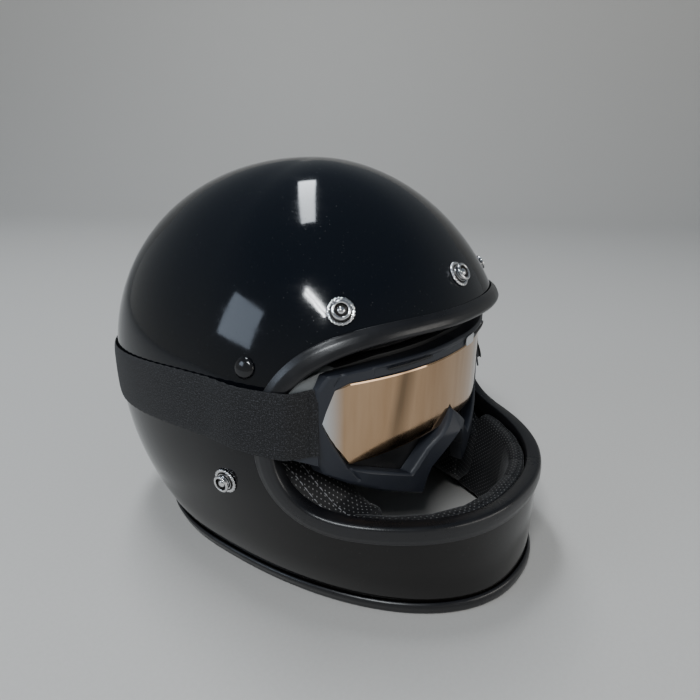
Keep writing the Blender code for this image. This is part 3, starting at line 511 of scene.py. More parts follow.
def feed(shader, socket, value):
    shader.id_data.links.new(value, shader.inputs[socket])


def maths(tree, operation, first, second=0.0):
    return node(tree, "ShaderNodeMath", {0: first, 1: second}, operation=operation).outputs[0]


def plus(tree, first, second):
    return maths(tree, "ADD", first, second)


def times(tree, first, second):
    return maths(tree, "MULTIPLY", first, second)


def remap(tree, value, low, high, to_low, to_high):
    inputs = {"Value": value, "From Min": low, "From Max": high, "To Min": to_low, "To Max": to_high}
    return node(tree, "ShaderNodeMapRange", inputs).outputs["Result"]


def object_coords(tree):
    return node(tree, "ShaderNodeTexCoord").outputs["Object"]


def axes_of(tree, vector):
    return node(tree, "ShaderNodeSeparateXYZ", {"Vector": vector}).outputs


def stretched(tree, coords, upright):
    return node(tree, "ShaderNodeMapping", {"Vector": coords, "Scale": (1.0, 1.0, upright)}).outputs[0]


def surf_coords(tree):
    return node(tree, "ShaderNodeUVMap", uv_map="surf").outputs["UV"]


def noise(tree, vector, scale, detail=3.0, roughness=0.55):
    inputs = {"Vector": vector, "Scale": scale, "Detail": detail, "Roughness": roughness}
    return node(tree, "ShaderNodeTexNoise", inputs).outputs["Fac"]


def mix_colour(tree, fac, first, second):
    made = node(tree, "ShaderNodeMix", data_type="RGBA")
    for index, value in ((0, fac), (6, first), (7, second)):
        if isinstance(value, bpy.types.NodeSocket):
            tree.links.new(value, made.inputs[index])
        elif index == 0:
            made.inputs[0].default_value = value
        else:
            made.inputs[index].default_value = (*value, 1.0)
    return made.outputs[2]


def bump(tree, shader, height, distance, strength=1.0):
    inputs = {"Height": height, "Distance": distance, "Strength": strength}
    feed(shader, "Normal", node(tree, "ShaderNodeBump", inputs).outputs["Normal"])


def shell_finish():
    """Gloss black with a painted reflection, warm low down and cooler toward the crown, and faint smears and
    specks of dust.
    """
    made, tree, shader = new_finish("shell_gloss_black", (0.003, 0.0034, 0.0045), 0.1)
    coords = object_coords(tree)
    haze = noise(tree, coords, 9.0, 4.0)
    smears = noise(tree, stretched(tree, coords, 3.5), 38.0, 5.0, 0.7)
    dust = remap(tree, noise(tree, coords, 900.0, 1.0), 0.735, 0.78, 0.0, 1.0)
    # Painted reflection: the black runs from a warm tone low down to a cool blue tone toward the crown.
    rise = remap(tree, axes_of(tree, coords)[2], 0.05, 0.20, 0.0, 1.0)
    low_reflection_tone = mix_colour(tree, haze, (0.0030, 0.0024, 0.0021), (0.0044, 0.0036, 0.0032))
    high_reflection_tone = mix_colour(tree, haze, (0.0018, 0.0030, 0.0056), (0.0030, 0.0046, 0.0078))
    tone = mix_colour(tree, rise, low_reflection_tone, high_reflection_tone)
    feed(shader, "Base Color", mix_colour(tree, times(tree, dust, 0.35), tone, (0.05, 0.05, 0.05)))
    rough = remap(tree, smears, 0.35, 0.75, 0.06, 0.13)
    feed(shader, "Roughness", plus(tree, rough, times(tree, dust, 0.25)))
    bump(tree, shader, noise(tree, coords, 260.0, 1.0), 0.00002, 0.35)
    shader.inputs["Specular IOR Level"].default_value = 0.38
    return made


def rubber_finish():
    made, tree, shader = new_finish("trim_rubber", (0.009, 0.009, 0.010), 0.36)
    coords = object_coords(tree)
    wear = noise(tree, coords, 46.0, 5.0, 0.65)
    feed(shader, "Base Color", mix_colour(tree, wear, (0.004, 0.004, 0.005), (0.010, 0.010, 0.012)))
    feed(shader, "Roughness", remap(tree, wear, 0.3, 0.75, 0.24, 0.40))
    bump(tree, shader, noise(tree, coords, 900.0, 3.0), 0.00005, 0.6)
    return made


def metal_finish(name, base, low, high):
    made, tree, shader = new_finish(name, base, low, 1.0)
    coords = object_coords(tree)
    stains = noise(tree, coords, 420.0, 4.0, 0.6)
    feed(shader, "Roughness", remap(tree, stains, 0.35, 0.7, low, high))
    dark = tuple(0.72 * value for value in base)
    feed(shader, "Base Color", mix_colour(tree, remap(tree, stains, 0.4, 0.8, 0.0, 1.0), base, dark))
    bump(tree, shader, noise(tree, coords, 1500.0, 2.0), 0.00002, 0.4)
    return made


def woven_finish(name, rib, pick, base, light, weave_share, fibre_scale):
    """Woven tape: ribs along it at one pitch, picks across at another, with lighter fibre flecks."""
    made, tree, shader = new_finish(name, base, 0.85)
    along, across, _ = axes_of(tree, surf_coords(tree))
    wander = times(tree, noise(tree, surf_coords(tree), 700.0, 2.0), 0.00045)
    ribs = maths(tree, "SINE", times(tree, plus(tree, across, wander), 2 * math.pi / rib))
    shift = times(tree, ribs, 0.25 * pick)
    along_shifted = plus(tree, plus(tree, along, shift), wander)
    picks = maths(tree, "SINE", times(tree, along_shifted, 2 * math.pi / pick))
    weave = plus(tree, times(tree, ribs, 0.3), times(tree, picks, 0.35))
    fibre = noise(tree, surf_coords(tree), fibre_scale, 4.0, 0.8)
    height = plus(tree, times(tree, weave, 0.5), fibre)
    flecks = remap(tree, plus(tree, times(tree, weave, weave_share), fibre), 0.50, 0.78, 0.0, 1.0)
    broad = noise(tree, surf_coords(tree), 60.0, 3.0)
    tone = mix_colour(tree, flecks, base, light)
    feed(shader, "Base Color", mix_colour(tree, times(tree, broad, 0.35), tone, base))
    bump(tree, shader, height, 0.00022, 0.9)
    shader.inputs["Sheen Weight"].default_value = 0.04
    shader.inputs["Sheen Roughness"].default_value = 0.5
    return made


def staggered_dots(tree, coords, pitch, radius, soft):
    """Dots on a staggered grid in the first two coordinates: 1 inside a dot, 0 outside."""
    turned_grid = node(tree, "ShaderNodeMapping", {"Vector": coords, "Rotation": (0.0, 0.0, math.pi / 4)})
    cells = node(
        tree, "ShaderNodeTexVoronoi",
        {"Vector": turned_grid.outputs[0], "Scale": 1.0 / pitch, "Randomness": 0.0},
        voronoi_dimensions="2D", feature="F1",
    )
    return remap(tree, cells.outputs["Distance"], radius / pitch, (radius + soft) / pitch, 1.0, 0.0)


def perforated_finish(name, coords_of, pitch, radius, glow, sheen, grain=1400.0):
    """Black lining with rows of small pale perforations."""
    made, tree, shader = new_finish(name, (0.010, 0.010, 0.011), 0.6)
    dots = coords_of(tree, lambda coords: staggered_dots(tree, coords, pitch, radius, 0.35 * radius))
    coords = object_coords(tree)
    cloth = noise(tree, coords, grain, 3.0, 0.65)
    patches = noise(tree, coords, 55.0, 4.0)
    tone = mix_colour(tree, cloth, (0.005, 0.005, 0.006), (0.020, 0.020, 0.022))
    strength = times(tree, dots, remap(tree, patches, 0.3, 0.7, 0.45, 1.0))
    feed(shader, "Base Color", mix_colour(tree, strength, tone, (glow, glow, glow)))
    feed(shader, "Roughness", remap(tree, patches, 0.3, 0.75, 0.38, 0.62))
    height = maths(tree, "SUBTRACT", times(tree, cloth, 0.25), times(tree, dots, 0.8))
    bump(tree, shader, height, 0.00025, 0.8)
    shader.inputs["Sheen Weight"].default_value = sheen
    shader.inputs["Sheen Roughness"].default_value = 0.4
    return made


def along_surface(tree, pattern):
    return pattern(surf_coords(tree))


def from_three_sides(tree, pattern):
    """A flat pattern projected along whichever axis the surface faces."""
    x, y, z = axes_of(tree, object_coords(tree))
    facing = axes_of(tree, node(tree, "ShaderNodeNewGeometry").outputs["True Normal"])
    sizes = [maths(tree, "ABSOLUTE", output) for output in facing]
    result = None
    for first, second, size, others in ((y, z, 0, (1, 2)), (x, z, 1, (0, 2)), (x, y, 2, (0, 1))):
        plane = node(tree, "ShaderNodeCombineXYZ", {"X": first, "Y": second})
        wins = times(tree, *(maths(tree, "GREATER_THAN", sizes[size], sizes[other]) for other in others))
        share = times(tree, pattern(plane.outputs[0]), wins)
        result = share if result is None else plus(tree, result, share)
    return result


def plastic_finish(name, low, high, rough_low, rough_high, grain=900.0, depth=0.00004):
    made, tree, shader = new_finish(name, low, rough_low)
    coords = object_coords(tree)
    cloud = noise(tree, coords, 34.0, 5.0, 0.6)
    feed(shader, "Base Color", mix_colour(tree, cloud, low, high))
    feed(shader, "Roughness", remap(tree, cloud, 0.3, 0.7, rough_low, rough_high))
    bump(tree, shader, noise(tree, coords, grain, 3.0), depth, 0.7)
    return made


def lens_finish():
    """Mirror coating with painted reflections: a warm tone for a brown floor, soft vertical bands, one dark
    band a side, and a pale reflection at the temples.
    """
    made, tree, shader = new_finish("lens_mirror", (0.75, 0.56, 0.38), 0.07, 1.0)
    coords = object_coords(tree)
    across, _, height = axes_of(tree, coords)
    # Painted reflection: the temples fade to a pale grey-green.
    temple = remap(tree, maths(tree, "ABSOLUTE", across), LENS_BEND_X, 0.0925, 0.0, 1.0)
    # Painted reflection: soft vertical bands between two warm tones.
    reflection_streaks = noise(tree, stretched(tree, coords, 0.12), 62.0, 3.0, 0.6)
    warm = mix_colour(tree, remap(tree, reflection_streaks, 0.3, 0.7, 0.0, 1.0), (0.42, 0.265, 0.150),
                      (0.56, 0.385, 0.245))
    # Painted reflection: one dark band a side.
    offset = plus(tree, maths(tree, "ABSOLUTE", across), times(tree, height, 0.16))
    reflection_band_start = remap(tree, offset, 0.058, 0.068, 0.0, 1.0)
    band = times(tree, reflection_band_start, remap(tree, offset, 0.070, 0.076, 1.0, 0.0))
    warm = mix_colour(tree, times(tree, band, 0.7), warm, (0.115, 0.080, 0.050))
    low_edge = remap(tree, height, 0.094, 0.125, 0.35, 0.0)
    warm = mix_colour(tree, low_edge, warm, (0.46, 0.30, 0.17))
    feed(shader, "Base Color", mix_colour(tree, temple, warm, (0.60, 0.64, 0.67)))
    smudge = noise(tree, coords, 60.0, 5.0, 0.7)
    feed(shader, "Roughness", remap(tree, smudge, 0.4, 0.75, 0.05, 0.14))
    return made


def foam_finish(name, low, high, cell):
    made, tree, shader = new_finish(name, low, 0.9)
    coords = object_coords(tree)
    cells = node(tree, "ShaderNodeTexVoronoi", {"Vector": coords, "Scale": 1.0 / cell}).outputs["Distance"]
    feed(shader, "Base Color", mix_colour(tree, cells, low, high))
    bump(tree, shader, maths(tree, "SUBTRACT", 1.0, cells), 0.3 * cell, 0.6)
    return made


SHELL = shell_finish()
RUBBER = rubber_finish()
CHROME = metal_finish("snap_chrome", (0.78, 0.78, 0.79), 0.06, 0.22)
# Dark matt metal that paints shade into the recesses of the snaps.
RECESS_SHADE_METAL = metal_finish("snap_recess_painted_shade", (0.055, 0.052, 0.050), 0.30, 0.55)
STEEL = metal_finish("ring_steel", (0.52, 0.52, 0.51), 0.18, 0.40)
ELASTIC = woven_finish("strap_elastic", 0.00125, 0.0011, (0.0030, 0.0030, 0.0036), (0.100, 0.100, 0.112),
                       0.06, 950.0)
WEBBING = woven_finish("chin_webbing", 0.0022, 0.0013, (0.006, 0.006, 0.007), (0.035, 0.035, 0.038),
                       0.35, 2400.0)
LINING = perforated_finish("lining_perforated", along_surface, 0.0026, 0.00036, 0.20, 0.12)
PAD_CLOTH = perforated_finish("pad_perforated", from_three_sides, 0.0029, 0.00034, 0.34, 0.15)
CROWN_CLOTH = perforated_finish("crown_perforated", along_surface, 0.0032, 0.00050, 0.08, 0.2)
FRAME_PLASTIC = plastic_finish("goggle_frame_matt", (0.012, 0.0145, 0.022), (0.019, 0.0225, 0.032), 0.40,
                               0.55)
WING_PLASTIC = plastic_finish("goggle_wing_satin", (0.10, 0.108, 0.112), (0.16, 0.168, 0.172), 0.28, 0.40)
SOFT_PLASTIC = plastic_finish("goggle_soft_black", (0.006, 0.006, 0.007), (0.012, 0.012, 0.013), 0.24, 0.38)
RIVET_BLACK = plastic_finish("rivet_black", (0.004, 0.004, 0.005), (0.010, 0.010, 0.011), 0.08, 0.2)
TAB = plastic_finish("tab_pale", (0.40, 0.42, 0.44), (0.66, 0.68, 0.70), 0.35, 0.55)
LENS = lens_finish()
SEAM_THREAD = plastic_finish("seam_thread", (0.16, 0.16, 0.17), (0.42, 0.42, 0.44), 0.6, 0.8)
LINER_FOAM = foam_finish("liner_foam", (0.016, 0.016, 0.017), (0.034, 0.034, 0.036), 0.0026)
FACE_FOAM = foam_finish("face_foam", (0.010, 0.010, 0.011), (0.030, 0.030, 0.032), 0.0009)


# Shell and trims.

def make_shell():
    shell = bowl("shell", 0.0, SHELL_THICKNESS, RIM_Z, 216, 46, 36, SHELL, ["helmet_shell"])
    cut_away(shell, eyeport_cutter_rings(), 40)


def trim_profile(lip, bead, wall):
    """Rubber channel: (outward, past the edge) points, the outer lip crowned and tapered."""
    inner = -SHELL_THICKNESS - 0.0013
    corners = [
        (0.0004, -lip), (0.0012, -lip - 0.0001), (0.62 * wall, -lip + 0.0016), (0.98 * wall, -0.55 * lip),
        (1.12 * wall, -0.15 * lip), (1.05 * wall, 0.55 * bead), (0.55 * wall, bead), (-0.0020, bead + 0.0001),
        (inner - 0.0006, bead - 0.0001), (inner - 0.0016, bead - 0.0014), (inner - 0.0016, -0.8 * lip),
        (inner, -0.8 * lip), (inner, 0.0005), (0.0004, 0.0005),
    ]
    return rounded(corners, 0.0007, 2)


def make_eyeport_trim():
    profile = trim_profile(0.0090, 0.0034, 0.0028)
    sections = []
    for height, place, outward, past_edge in eyeport_edge(320):
        shorter = 1.0 - 0.26 * smooth_step((height - 0.160) / 0.020)
        sections.append([
            place + out * outward + (past * shorter if past < 0.0 else past) * past_edge
            for out, past in profile
        ])
    made = skin("eyeport_rubber", sections, RUBBER, "helmet", True, 50, ["eyeport_trim"])


def make_base_trim():
    steps = 260
    corners = [
        (0.0004, -0.0056), (0.0010, -0.0058), (0.0026, -0.0046), (0.0031, -0.0020), (0.0029, 0.0016),
        (0.0016, RIM_Z), (-0.0058, RIM_Z), (-0.0074, RIM_Z - 0.0012), (-0.0074, -0.0042), (-0.0058, -0.0042),
        (-0.0058, 0.0005), (0.0004, 0.0005),
    ]
    profile = rounded(corners, 0.0008, 2)
    sections = []
    for i in range(steps):
        bearing = 2 * math.pi * i / steps
        slope = 1.0 / shell_normal(bearing, RIM_Z).xy.length
        section = []
        for out, past in profile:
            side = wall_point(bearing, max(RIM_Z - past, RIM_Z), -out * slope)
            section.append(Vector((side.x, side.y, max(RIM_Z - past, 0.0))))
        sections.append(section)
    made = skin("base_rubber", sections, RUBBER, "helmet", True, 50, ["base_trim"])


# Snaps and rivets.

def paint_recess_shade(piece, place, low, high):
    """Painted shade: a dark matt metal on the faces between two radii of a turned piece, where its recesses
    lie.
    """
    piece.data.materials.append(RECESS_SHADE_METAL)
    back = place.inverted()
    for face in piece.data.polygons:
        local = back @ face.center
        if low <= math.hypot(local.x, local.y) < high:
            face.material_index = 1


def make_snaps():
    def serrated(angle, radius):
        return 1.0 if radius < 0.0070 else 1.0 - 0.055 * (0.5 - 0.5 * math.cos(22 * angle)) ** 2
    flange = [
        (0.0047, 0.0003), (0.0081, 0.0003), (0.0082, 0.0008), (0.0078, 0.0014), (0.0070, 0.0016),
        (0.0062, 0.0012), (0.0056, 0.0012), (0.0052, 0.0018), (0.0047, 0.0018),
    ]
    stud = [
        (0.0025, 0.0005), (0.0044, 0.0005), (0.0043, 0.0028), (0.0046, 0.0034), (0.0054, 0.0039),
        (0.0056, 0.0044), (0.0054, 0.0050), (0.0049, 0.0053), (0.0043, 0.0053), (0.0039, 0.0050),
        (0.0037, 0.0044), (0.0036, 0.0034), (0.0033, 0.0031), (0.0025, 0.0030),
    ]
    dome = [
        (0.0, 0.0031), (0.0026, 0.0031), (0.0027, 0.0035), (0.0025, 0.0041), (0.0020, 0.0047),
        (0.0013, 0.0051), (0.0006, 0.0053), (0.0, 0.00535),
    ]
    # The last column gives the radii between which shade is painted into a recess, as a dark metal.
    parts = (
        ("flange", flange, 176, serrated, 55, (0.0050, 0.0061)),
        ("stud", stud, 64, None, 60, (0.0, 0.0040)),
        ("dome", dome, 48, None, 70, None),
    )
    for spot, (bearing, height) in SNAPS.items():
        place = stud_place(bearing, height)
        for part, profile, segments, knurl, sharp, recess_shade in parts:
            piece = turned("snap_" + part + "_fine_" + spot, profile, CHROME, "helmet", place, segments,
                           knurl, ["snap_" + part + "_" + spot], sharp)
            if recess_shade:
                paint_recess_shade(piece, place, *recess_shade)


def make_rivets():
    dome = [
        (0.0, 0.0003), (0.0062, 0.0003), (0.0063, 0.0007), (0.0060, 0.0013), (0.0053, 0.0019),
        (0.0042, 0.0024), (0.0029, 0.0028), (0.0015, 0.0030), (0.0, 0.00305),
    ]
    for side, (bearing, height) in RIVETS.items():
        made = turned("rivet_dome_" + side, dome, RIVET_BLACK, "helmet", stud_place(bearing, height), 56,
                      None, ["strap_rivet_" + side], 70)


# Goggle strap and slider.

def strap_centre_z(bearing):
    return STRAP_FRONT_Z - 0.021 * smooth_step((abs(bearing) - 75.0) / 105.0)


def strap_gap(bearing):
    over_trim = 0.0034 * (1.0 - smooth_step((bearing - 69.0) / 14.0))
    over_slider = 0.0018 * smooth_step((bearing - 145.0) / 15.0)
    to_frame = 0.0098 * (1.0 - smooth_step((bearing - STRAP_END_BEARING) / 8.0))
    return 0.0008 + over_trim + over_slider - to_frame


def band_point(bearing_degrees, across, gap):
    folded = 180.0 - abs(180.0 - bearing_degrees)
    return wall_point(math.radians(bearing_degrees), strap_centre_z(folded) + across, -gap)


def make_strap():
    """Woven elastic band, its edges rounded and a little rippled."""
    steps = 420
    half = 0.5 * STRAP_WIDTH
    levels = [half * math.sin(math.pi / 2 * k / 9) for k in range(-9, 10)]
    sections = []
    for i in range(steps + 1):
        bearing = STRAP_END_BEARING + (360.0 - 2 * STRAP_END_BEARING) * i / steps
        folded = 180.0 - abs(180.0 - bearing)
        gap = strap_gap(folded)
        ripple = 0.00018 * math.sin(1.9 * bearing) * smooth_step((folded - 62.0) / 10.0)
        section = []
        for side, ordered in ((0, levels), (1, levels[::-1])):
            for level in ordered:
                edge = 1.0 - (abs(level) / half) ** 8
                middle = gap + 0.5 * STRAP_THICKNESS
                shift = (0.5 if side else -0.5) * STRAP_THICKNESS * (0.25 + 0.75 * edge)
                wave = ripple * (level / half) ** 3
                section.append(band_point(bearing, level + wave, middle + shift))
        sections.append(section)
    made = skin("strap_band", sections, ELASTIC, None, False, 60, ["goggle_strap"])
    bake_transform(made)


def thread_line(name, points_at, count, radius, finish, body):
    """A row of short stitches, each a small bowed thread, joined into one piece."""
    verts, faces, uvs = [], [], []
    for s in range(count):
        path = []
        for t in range(5):
            lift = 0.9 * radius * math.sin(math.pi * t / 4)
            path.append(points_at((s + 0.12 + 0.76 * t / 4) / count, lift))
        rings = [range(start, start + 6) for start in range(len(verts), len(verts) + 30, 6)]
        for t, point in enumerate(path):
            run = (path[min(t + 1, 4)] - path[max(t - 1, 0)]).normalized()
            side = run.orthogonal().normalized()
            other = run.cross(side)
            size = radius * (0.45 if t in (0, 4) else 1.0)
            for k in range(6):
                angle = math.pi * k / 3
                verts.append(point + size * (math.cos(angle) * side + math.sin(angle) * other))
        for near, far in zip(rings, rings[1:]):
            faces += quads(near, far)
            uvs += [((0.0, 0.0), (0.0, 0.001), (0.001, 0.001), (0.001, 0.0))] * 6
        for ring in (rings[0], rings[-1]):
            faces.append(tuple(ring))
            uvs.append(((0.0, 0.0),) * 6)
    return finish_object(name, verts, faces, uvs, finish, body)


def make_strap_ends():
    """Stitch rows across the strap just inside each end, riding with the goggles."""
    for name, side in SIDES:
        def across(t, lift, side=side):
            bearing = side * (STRAP_END_BEARING + 2.2)
            gap = strap_gap(STRAP_END_BEARING + 2.2) + STRAP_THICKNESS + 0.0001 + lift
            level = (t - 0.5) * 0.94 * STRAP_WIDTH
            return wall_point(math.radians(bearing), STRAP_FRONT_Z + level, -gap)
        made = thread_line("strap_stitch_" + name, across, 13, 0.00022, WEBBING, "goggles")


def make_slider():
    """Moulded adjuster tube with a rounded rectangular section and a cross bar's ridge."""
    steps = 24
    half = 0.5 * STRAP_WIDTH
    outer, hole = (
        rounded(box(-wide, low, wide, high), radius, 5)
        for wide, low, high, radius in (
            (half + 0.0028, 0.0008, 0.0066, 0.0020), (half + 0.0006, 0.0019, 0.0049, 0.0006),
        )
    )
    rows = []
    for i in range(steps + 1):
        t = i / steps
        bearing = 180.0 - 7.5 + 15.0 * t
        ends = 0.0008 * (1.0 - min(t, 1.0 - t) / 0.06) if min(t, 1.0 - t) < 0.06 else 0.0
        ridge = 0.0008 * (math.exp(-((t - 0.18) / 0.05) ** 2) + math.exp(-((t - 0.82) / 0.05) ** 2))
        row = []
        for across, gap in outer:
            shift = ridge - ends if gap > 0.004 else ends * 0.5
            row.append(band_point(bearing, across * (1.0 - 0.02 * (ends > 0)), gap + shift))
        for across, gap in hole:
            row.append(band_point(bearing, across, gap))
        rows.append(row)
    count = len(outer)

    def ring(i, start):
        first = 2 * count * i + start
        return range(first, first + count)
    faces = []
    for start in (0, count):
        for i in range(steps):
            faces += quads(ring(i, start), ring(i + 1, start))
    for i in (0, steps):
        faces += quads(ring(i, 0), ring(i, count))
    made = finish_object("slider_moulding", [point for row in rows for point in row], faces, None,
                         SOFT_PLASTIC, "slider", 45, ["strap_slider"])


# Goggles.

FRAME_STATIONS = [
    ((0.0, 0.1570), (0.0, 0.1470)),
    ((0.0600, 0.1550), (0.0600, 0.1464)),
    ((0.0840, 0.1530), (0.0817, 0.1462)),
    ((0.0935, 0.1525), (0.0894, 0.1428)),
    ((0.0985, 0.1445), (0.0930, 0.1325)),
    ((0.0996, 0.1250), (0.0963, 0.1230)),
    ((0.1005, 0.1045), (0.0890, 0.1080)),
    ((0.0950, 0.0912), (0.0815, 0.0925)),
    ((0.0810, 0.0815), (0.0720, 0.0885)),
    ((0.0610, 0.0705), (0.0600, 0.0838)),
    ((0.0440, 0.0629), (0.0470, 0.0784)),
    ((0.0340, 0.0583), (0.0385, 0.0748)),
    ((0.0275, 0.0555), (0.0300, 0.0826)),
    ((0.0240, 0.0648), (0.0240, 0.0880)),
    ((0.0215, 0.0720), (0.0190, 0.0925)),
    ((0.0110, 0.0830), (0.0095, 0.1005)),
    ((0.0, 0.0945), (0.0, 0.1085)),
]
INNER_STATIONS = [
    ((0.0, 0.1600), (0.0, 0.1440)),
    ((0.0600, 0.1580), (0.0600, 0.1434)),
    ((0.0880, 0.1535), (0.0780, 0.1432)),
    ((0.0970, 0.1490), (0.0850, 0.1400)),
    ((0.0973, 0.1230), (0.0900, 0.1230)),
    ((0.0975, 0.1080), (0.0845, 0.1116)),
    ((0.0868, 0.0970), (0.0770, 0.0970)),
    ((0.0760, 0.0860), (0.0640, 0.0980)),
    ((0.0500, 0.0720), (0.0480, 0.0993)),
    ((0.0300, 0.0640), (0.0300, 0.1007)),
    ((0.0200, 0.0760), (0.0150, 0.1018)),
    ((0.0, 0.0960), (0.0, 0.1030)),
]
FOAM_STATIONS = [
    ((0.0, 0.1600), (0.0, 0.1440)),
    ((0.0560, 0.1580), (0.0500, 0.1420)),
    ((0.0790, 0.1500), (0.0680, 0.1360)),
    ((0.0840, 0.1380), (0.0703, 0.1272)),
    ((0.0840, 0.1250), (0.0710, 0.1240)),
    ((0.0840, 0.1100), (0.0655, 0.1130)),
    ((0.0700, 0.0880), (0.0600, 0.1020)),
    ((0.0480, 0.0760), (0.0420, 0.1049)),
    ((0.0300, 0.0700), (0.0250, 0.1070)),
    ((0.0180, 0.0800), (0.0130, 0.1085)),
    ((0.0, 0.0980), (0.0, 0.1100)),
]
LENS_TOP = [(0.0, 0.1465), (0.0815, 0.1457), (0.0890, 0.1425), (0.0957, 0.1240)]
LENS_BOTTOM = [(0.0, 0.1100), (0.0082, 0.0990), (0.0805, 0.0940), (0.0957, 0.1222)]


def along_polyline(points, x):
    for (x0, z0), (x1, z1) in zip(points, points[1:]):
        if x <= x1:
            return z0 + (z1 - z0) * (x - x0) / (x1 - x0)
    return points[-1][1]


def ring_stations(stations, spacing, passes):
    """Matched outer and window points evenly round a ring, its corners eased."""
    whole = stations + [((-a[0], a[1]), (-b[0], b[1])) for a, b in stations[-2:0:-1]]
    pairs = []
    for i, (outer, window) in enumerate(whole):
        outer_next, window_next = whole[(i + 1) % len(whole)]
        span = max((Vector(outer_next) - Vector(outer)).length, (Vector(window_next) - Vector(window)).length)
        steps = max(int(round(span / spacing)), 1)
        for k in range(steps):
            t = k / steps
            pairs.append(tuple(
                Vector(a).lerp(Vector(b), t) for a, b in ((outer, outer_next), (window, window_next))
            ))
    outers, windows = zip(*pairs)
    return list(zip(eased(outers, passes), eased(windows, passes)))


def segment_distance(point, start, end):
    run = end - start
    share = min(max((point - start).dot(run) / run.length_squared, 0.0), 1.0)
    return (point - start - share * run).length


FRAME_GROOVES = [
    (Vector((0.0938, 0.1527)), Vector((0.0987, 0.1448)), 0.0016),
    (Vector((0.0852, 0.1540)), Vector((0.0900, 0.1464)), 0.0010),
    (Vector((0.0760, 0.0834)), Vector((0.0812, 0.0920)), 0.0010),
]


def frame_front(x, z):
    """Depth added to the frame's front face: nose flare, grooves and the step in the brow."""
    across = abs(x)
    nose = max(1.0 - across / 0.0240, 0.0) * min(max((0.1080 - z) / 0.0135, 0.0), 1.0)
    depth = -0.0080 * nose
    for start, end, deep in FRAME_GROOVES:
        depth += deep * math.exp(-(segment_distance(Vector((across, z)), start, end) / 0.0006) ** 2)
    if z > 0.1455:
        edge = 0.0677 + 0.29 * (z - 0.1465)
        depth += 0.0007 * smooth_step((edge - across) / 0.0009 + 0.5) * smooth_step((0.1540 - z) / 0.0015)
    return depth


def make_frame():
    crest = [
        (0.0013, 0.0), (0.0016, 0.06), (0.0016, 0.14), (0.0012, 0.24), (0.0008, 0.34), (0.0004, 0.44),
        (0.0, 0.54), (-0.0004, 0.64), (-0.0008, 0.74), (-0.0012, 0.84), (-0.0015, 0.94), (-0.0015, 1.0),
    ]
    profile = [(0.0, 0.0, depth, 0) for depth in (0.0073, 0.0045, 0.0012, -0.0007)]
    profile += [(0.0003, 0.0, -0.0012, 1), (0.0010, 0.0, -0.0019, 1)]
    profile += [(shift, share, -0.0021, 1) for shift, share in crest]
    profile += [(-0.0012, 1.0, -0.0019, 1), (-0.0003, 1.0, -0.0008, 1), (-0.0001, 1.0, -0.0004, 0)]
    profile += [(0.0, 1.0, depth, 0) for depth in (0.0004, 0.0020, 0.0045, 0.0073)]
    sections = []
    for outer, window in ring_stations(FRAME_STATIONS, 0.0008, 1):
        run = window - outer
        width = run.length
        direction = run / width
        section = []
        for shift, share, depth, on_front in profile:
            place = outer + direction * (shift * min(width / 0.0085, 1.3) + share * width)
            deeper = frame_front(place.x, place.y)
            if not on_front:
                deeper = min(deeper, 0.0) * min(max((0.0073 - depth) / 0.0075, 0.0), 1.0)
            section.append(goggle_point(place.x, place.y, depth + deeper))
        sections.append(section)
    made = skin("goggle_frame_moulding", sections, FRAME_PLASTIC, "goggles", True, 24, ["goggle_frame"])


def ring_piece(name, stations, spacing, passes, profile, finish, sharp, stands_for):
    """A ring of the goggles from (shift, share of the ring's width, depth) profile points."""
    sections = []
    for outer, window in ring_stations(stations, spacing, passes):
        run = window - outer
        section = []
        for shift, share, depth in profile:
            place = outer + run.normalized() * (shift + share * run.length)
            section.append(goggle_point(place.x, place.y, depth))
        sections.append(section)
    return skin(name, sections, finish, "goggles", True, sharp, stands_for)


def make_inner_frame():
    profile = [
        (0.0003, 0.0, 0.0150), (0.0, 0.0, 0.0140), (0.0, 0.0, 0.0090), (0.0006, 0.0, 0.0080),
        (0.0016, 0.05, 0.0078), (0.0010, 0.30, 0.0078), (0.0, 0.60, 0.0078), (-0.0012, 0.90, 0.0078),
        (-0.0012, 1.0, 0.0078),
        (-0.0004, 1.0, 0.0082), (0.0, 1.0, 0.0090), (0.0, 1.0, 0.0140), (-0.0003, 1.0, 0.0150),
        (-0.0008, 0.60, 0.0150), (0.0008, 0.30, 0.0150),
    ]
    made = ring_piece("goggle_inner_moulding", INNER_STATIONS, 0.0014, 4, profile, SOFT_PLASTIC, 40,
                      ["goggle_inner_frame"])
    made.data.materials.append(WING_PLASTIC)
    for face in made.data.polygons:
        if abs(face.center.x) > 0.084 and face.center.z > 0.1435:
            face.material_index = 1


def make_lens():
    """Curved mirrored lens with a chamfered end, as front and back grids joined at the edge."""
    columns, rows = 190, 34
    reach = 0.0956
    grids, verts, faces = [], [], []
    for back in (0, 1):
        grid = []
        for i in range(columns + 1):
            x = -reach + 2 * reach * i / columns
            across = abs(x)
            top, bottom = along_polyline(LENS_TOP, across), along_polyline(LENS_BOTTOM, across)
            column = []
            for k in range(rows + 1):
                share = 0.5 - 0.5 * math.cos(math.pi * k / rows)
                z = bottom + (top - bottom) * share
                chamfer = 0.34 * max(across - LENS_BEND_X, 0.0)
                rim = min(z - bottom, top - z, reach - across)
                edge = 0.00035 * (1.0 - smooth_step(rim / 0.0009)) * (-1 if back else 1)
                column.append(len(verts))
                verts.append(goggle_point(x, z, chamfer + (0.0012 if back else 0.0) + edge))
            grid.append(column)
        grids.append(grid)
    for grid in grids:
        for i in range(columns):
            for k in range(rows):
                faces.append((grid[i][k], grid[i + 1][k], grid[i + 1][k + 1], grid[i][k + 1]))
    front, back = grids
    for i in range(columns):
        for k in (0, rows):
            faces.append((front[i][k], front[i + 1][k], back[i + 1][k], back[i][k]))
    for i in (0, columns):
        for k in range(rows):
            faces.append((front[i][k], front[i][k + 1], back[i][k + 1], back[i][k]))
    uvs = [tuple((verts[corner].x, verts[corner].z) for corner in face) for face in faces]
    made = finish_object("lens_mirror", verts, faces, uvs, LENS, "goggles", 16, ["goggle_lens"])


